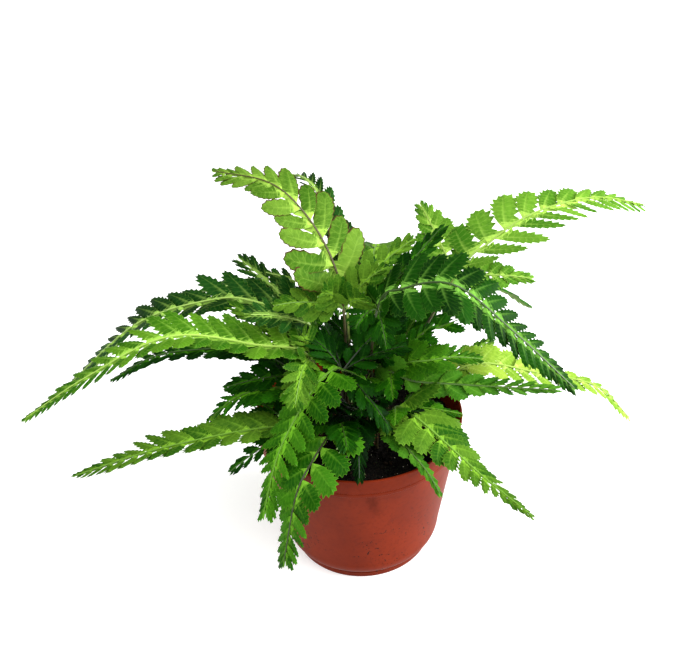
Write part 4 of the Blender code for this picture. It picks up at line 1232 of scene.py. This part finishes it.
def rim_guide():
    """The pot's wall and rim, a little larger all round, for the leaflets to stay clear of."""
    outer, top = RIM_RADIUS + RIM_CLEARANCE, POT_HEIGHT + RIM_CLEARANCE
    profile = [(0, 20), (outer, 20), (outer, top), (outer - 4, top), (outer - 4, 30), (0, 30)]
    points, face_sets = turned(profile, 48)
    return points, [face for faces in face_sets for face in faces.tolist()]


def build_fronds():
    """All the ribs first, then the leaflets one by one, sprays last, so that no frond crosses another."""
    random = np.random.default_rng(FROND_SEED)
    fronds = [Frond(name, plan, random) for name, plan in FRONDS.items()]
    obstacles = Obstacles()
    obstacles.add(None, *rim_guide())
    for frond in fronds:
        for strand, points, faces in frond.ribs:
            obstacles.add(strand, points, faces)
    scout = LeafletNet(SCOUT_CORNERS, 0.5)
    for frond in fronds:
        for waiting in frond.first:
            frond.fit(waiting, obstacles, scout)
    for frond in fronds:
        for waiting in frond.waiting:
            frond.fit(waiting, obstacles, scout)
        frond.build()


# Studio


def area_light(name, where, aim, size, power):
    """A soft square lamp at one point that shines on another."""
    light = bpy.data.lights.new(name, "AREA")
    light.size = size
    light.energy = power
    turn = (Vector(where) - Vector(aim)).to_track_quat("Z", "Y").to_matrix().to_4x4()
    put(name, light).matrix_world = Matrix.Translation(where) @ turn


def build_studio():
    """A pale floor and sky, soft lamps and the camera at the photograph's viewing angle."""
    floor = bpy.data.meshes.new("floor")
    floor.from_pydata([(-3, -3, 0), (3, -3, 0), (3, 3, 0), (-3, 3, 0)], [], [(0, 1, 2, 3)])
    paint = Paint("studio_floor", {
        "Base Color": (0.8, 0.8, 0.8, 1), "Roughness": 1.0, "Specular IOR Level": 0.0,
        "Emission Color": (1, 1, 1, 1), "Emission Strength": FLOOR_GLOW,
    })
    floor.materials.append(paint.material)
    put("floor", floor)
    world = bpy.data.worlds.new("studio")
    world.use_nodes = True
    world.node_tree.nodes["Background"].inputs["Color"].default_value = (1, 1, 1, 1)
    world.node_tree.nodes["Background"].inputs["Strength"].default_value = SKY
    bpy.context.scene.world = world
    bpy.context.scene.view_settings.view_transform = "Standard"
    for lamp in LAMPS:
        area_light(*lamp)
    camera = bpy.data.cameras.new("camera")
    camera.sensor_width = 36
    camera.lens = LENS
    camera.clip_start = 0.01
    pitch = Matrix.Rotation(math.radians(90 - CAMERA_PITCH), 4, "X")
    roll = Matrix.Rotation(math.radians(CAMERA_ROLL), 4, "Z")
    piece = put("camera", camera)
    piece.matrix_world = Matrix.Translation(CAMERA_AT) @ pitch @ roll
    bpy.context.scene.camera = piece


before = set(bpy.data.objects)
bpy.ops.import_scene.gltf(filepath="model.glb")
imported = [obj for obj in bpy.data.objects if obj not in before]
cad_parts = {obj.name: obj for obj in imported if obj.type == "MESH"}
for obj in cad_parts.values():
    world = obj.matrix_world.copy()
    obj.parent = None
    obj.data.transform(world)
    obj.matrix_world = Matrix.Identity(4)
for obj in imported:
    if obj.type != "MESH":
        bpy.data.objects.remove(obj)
cad_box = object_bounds()
BOX = np.array([list(corner) for corner in cad_box]) / MM
PAINTS = {}
for look in LOOKS:
    PAINTS[look, "rib"] = rib_paint(look + "_rib", look)
    PAINTS[look, "upper"] = leaf_paint(look + "_leaf", look, True)
    PAINTS[look, "lower"] = leaf_paint(look + "_leaf_under", look, False)
PAINTS["scales"] = scale_paint()
build_pot()
build_soil()
build_fronds()
build_studio()
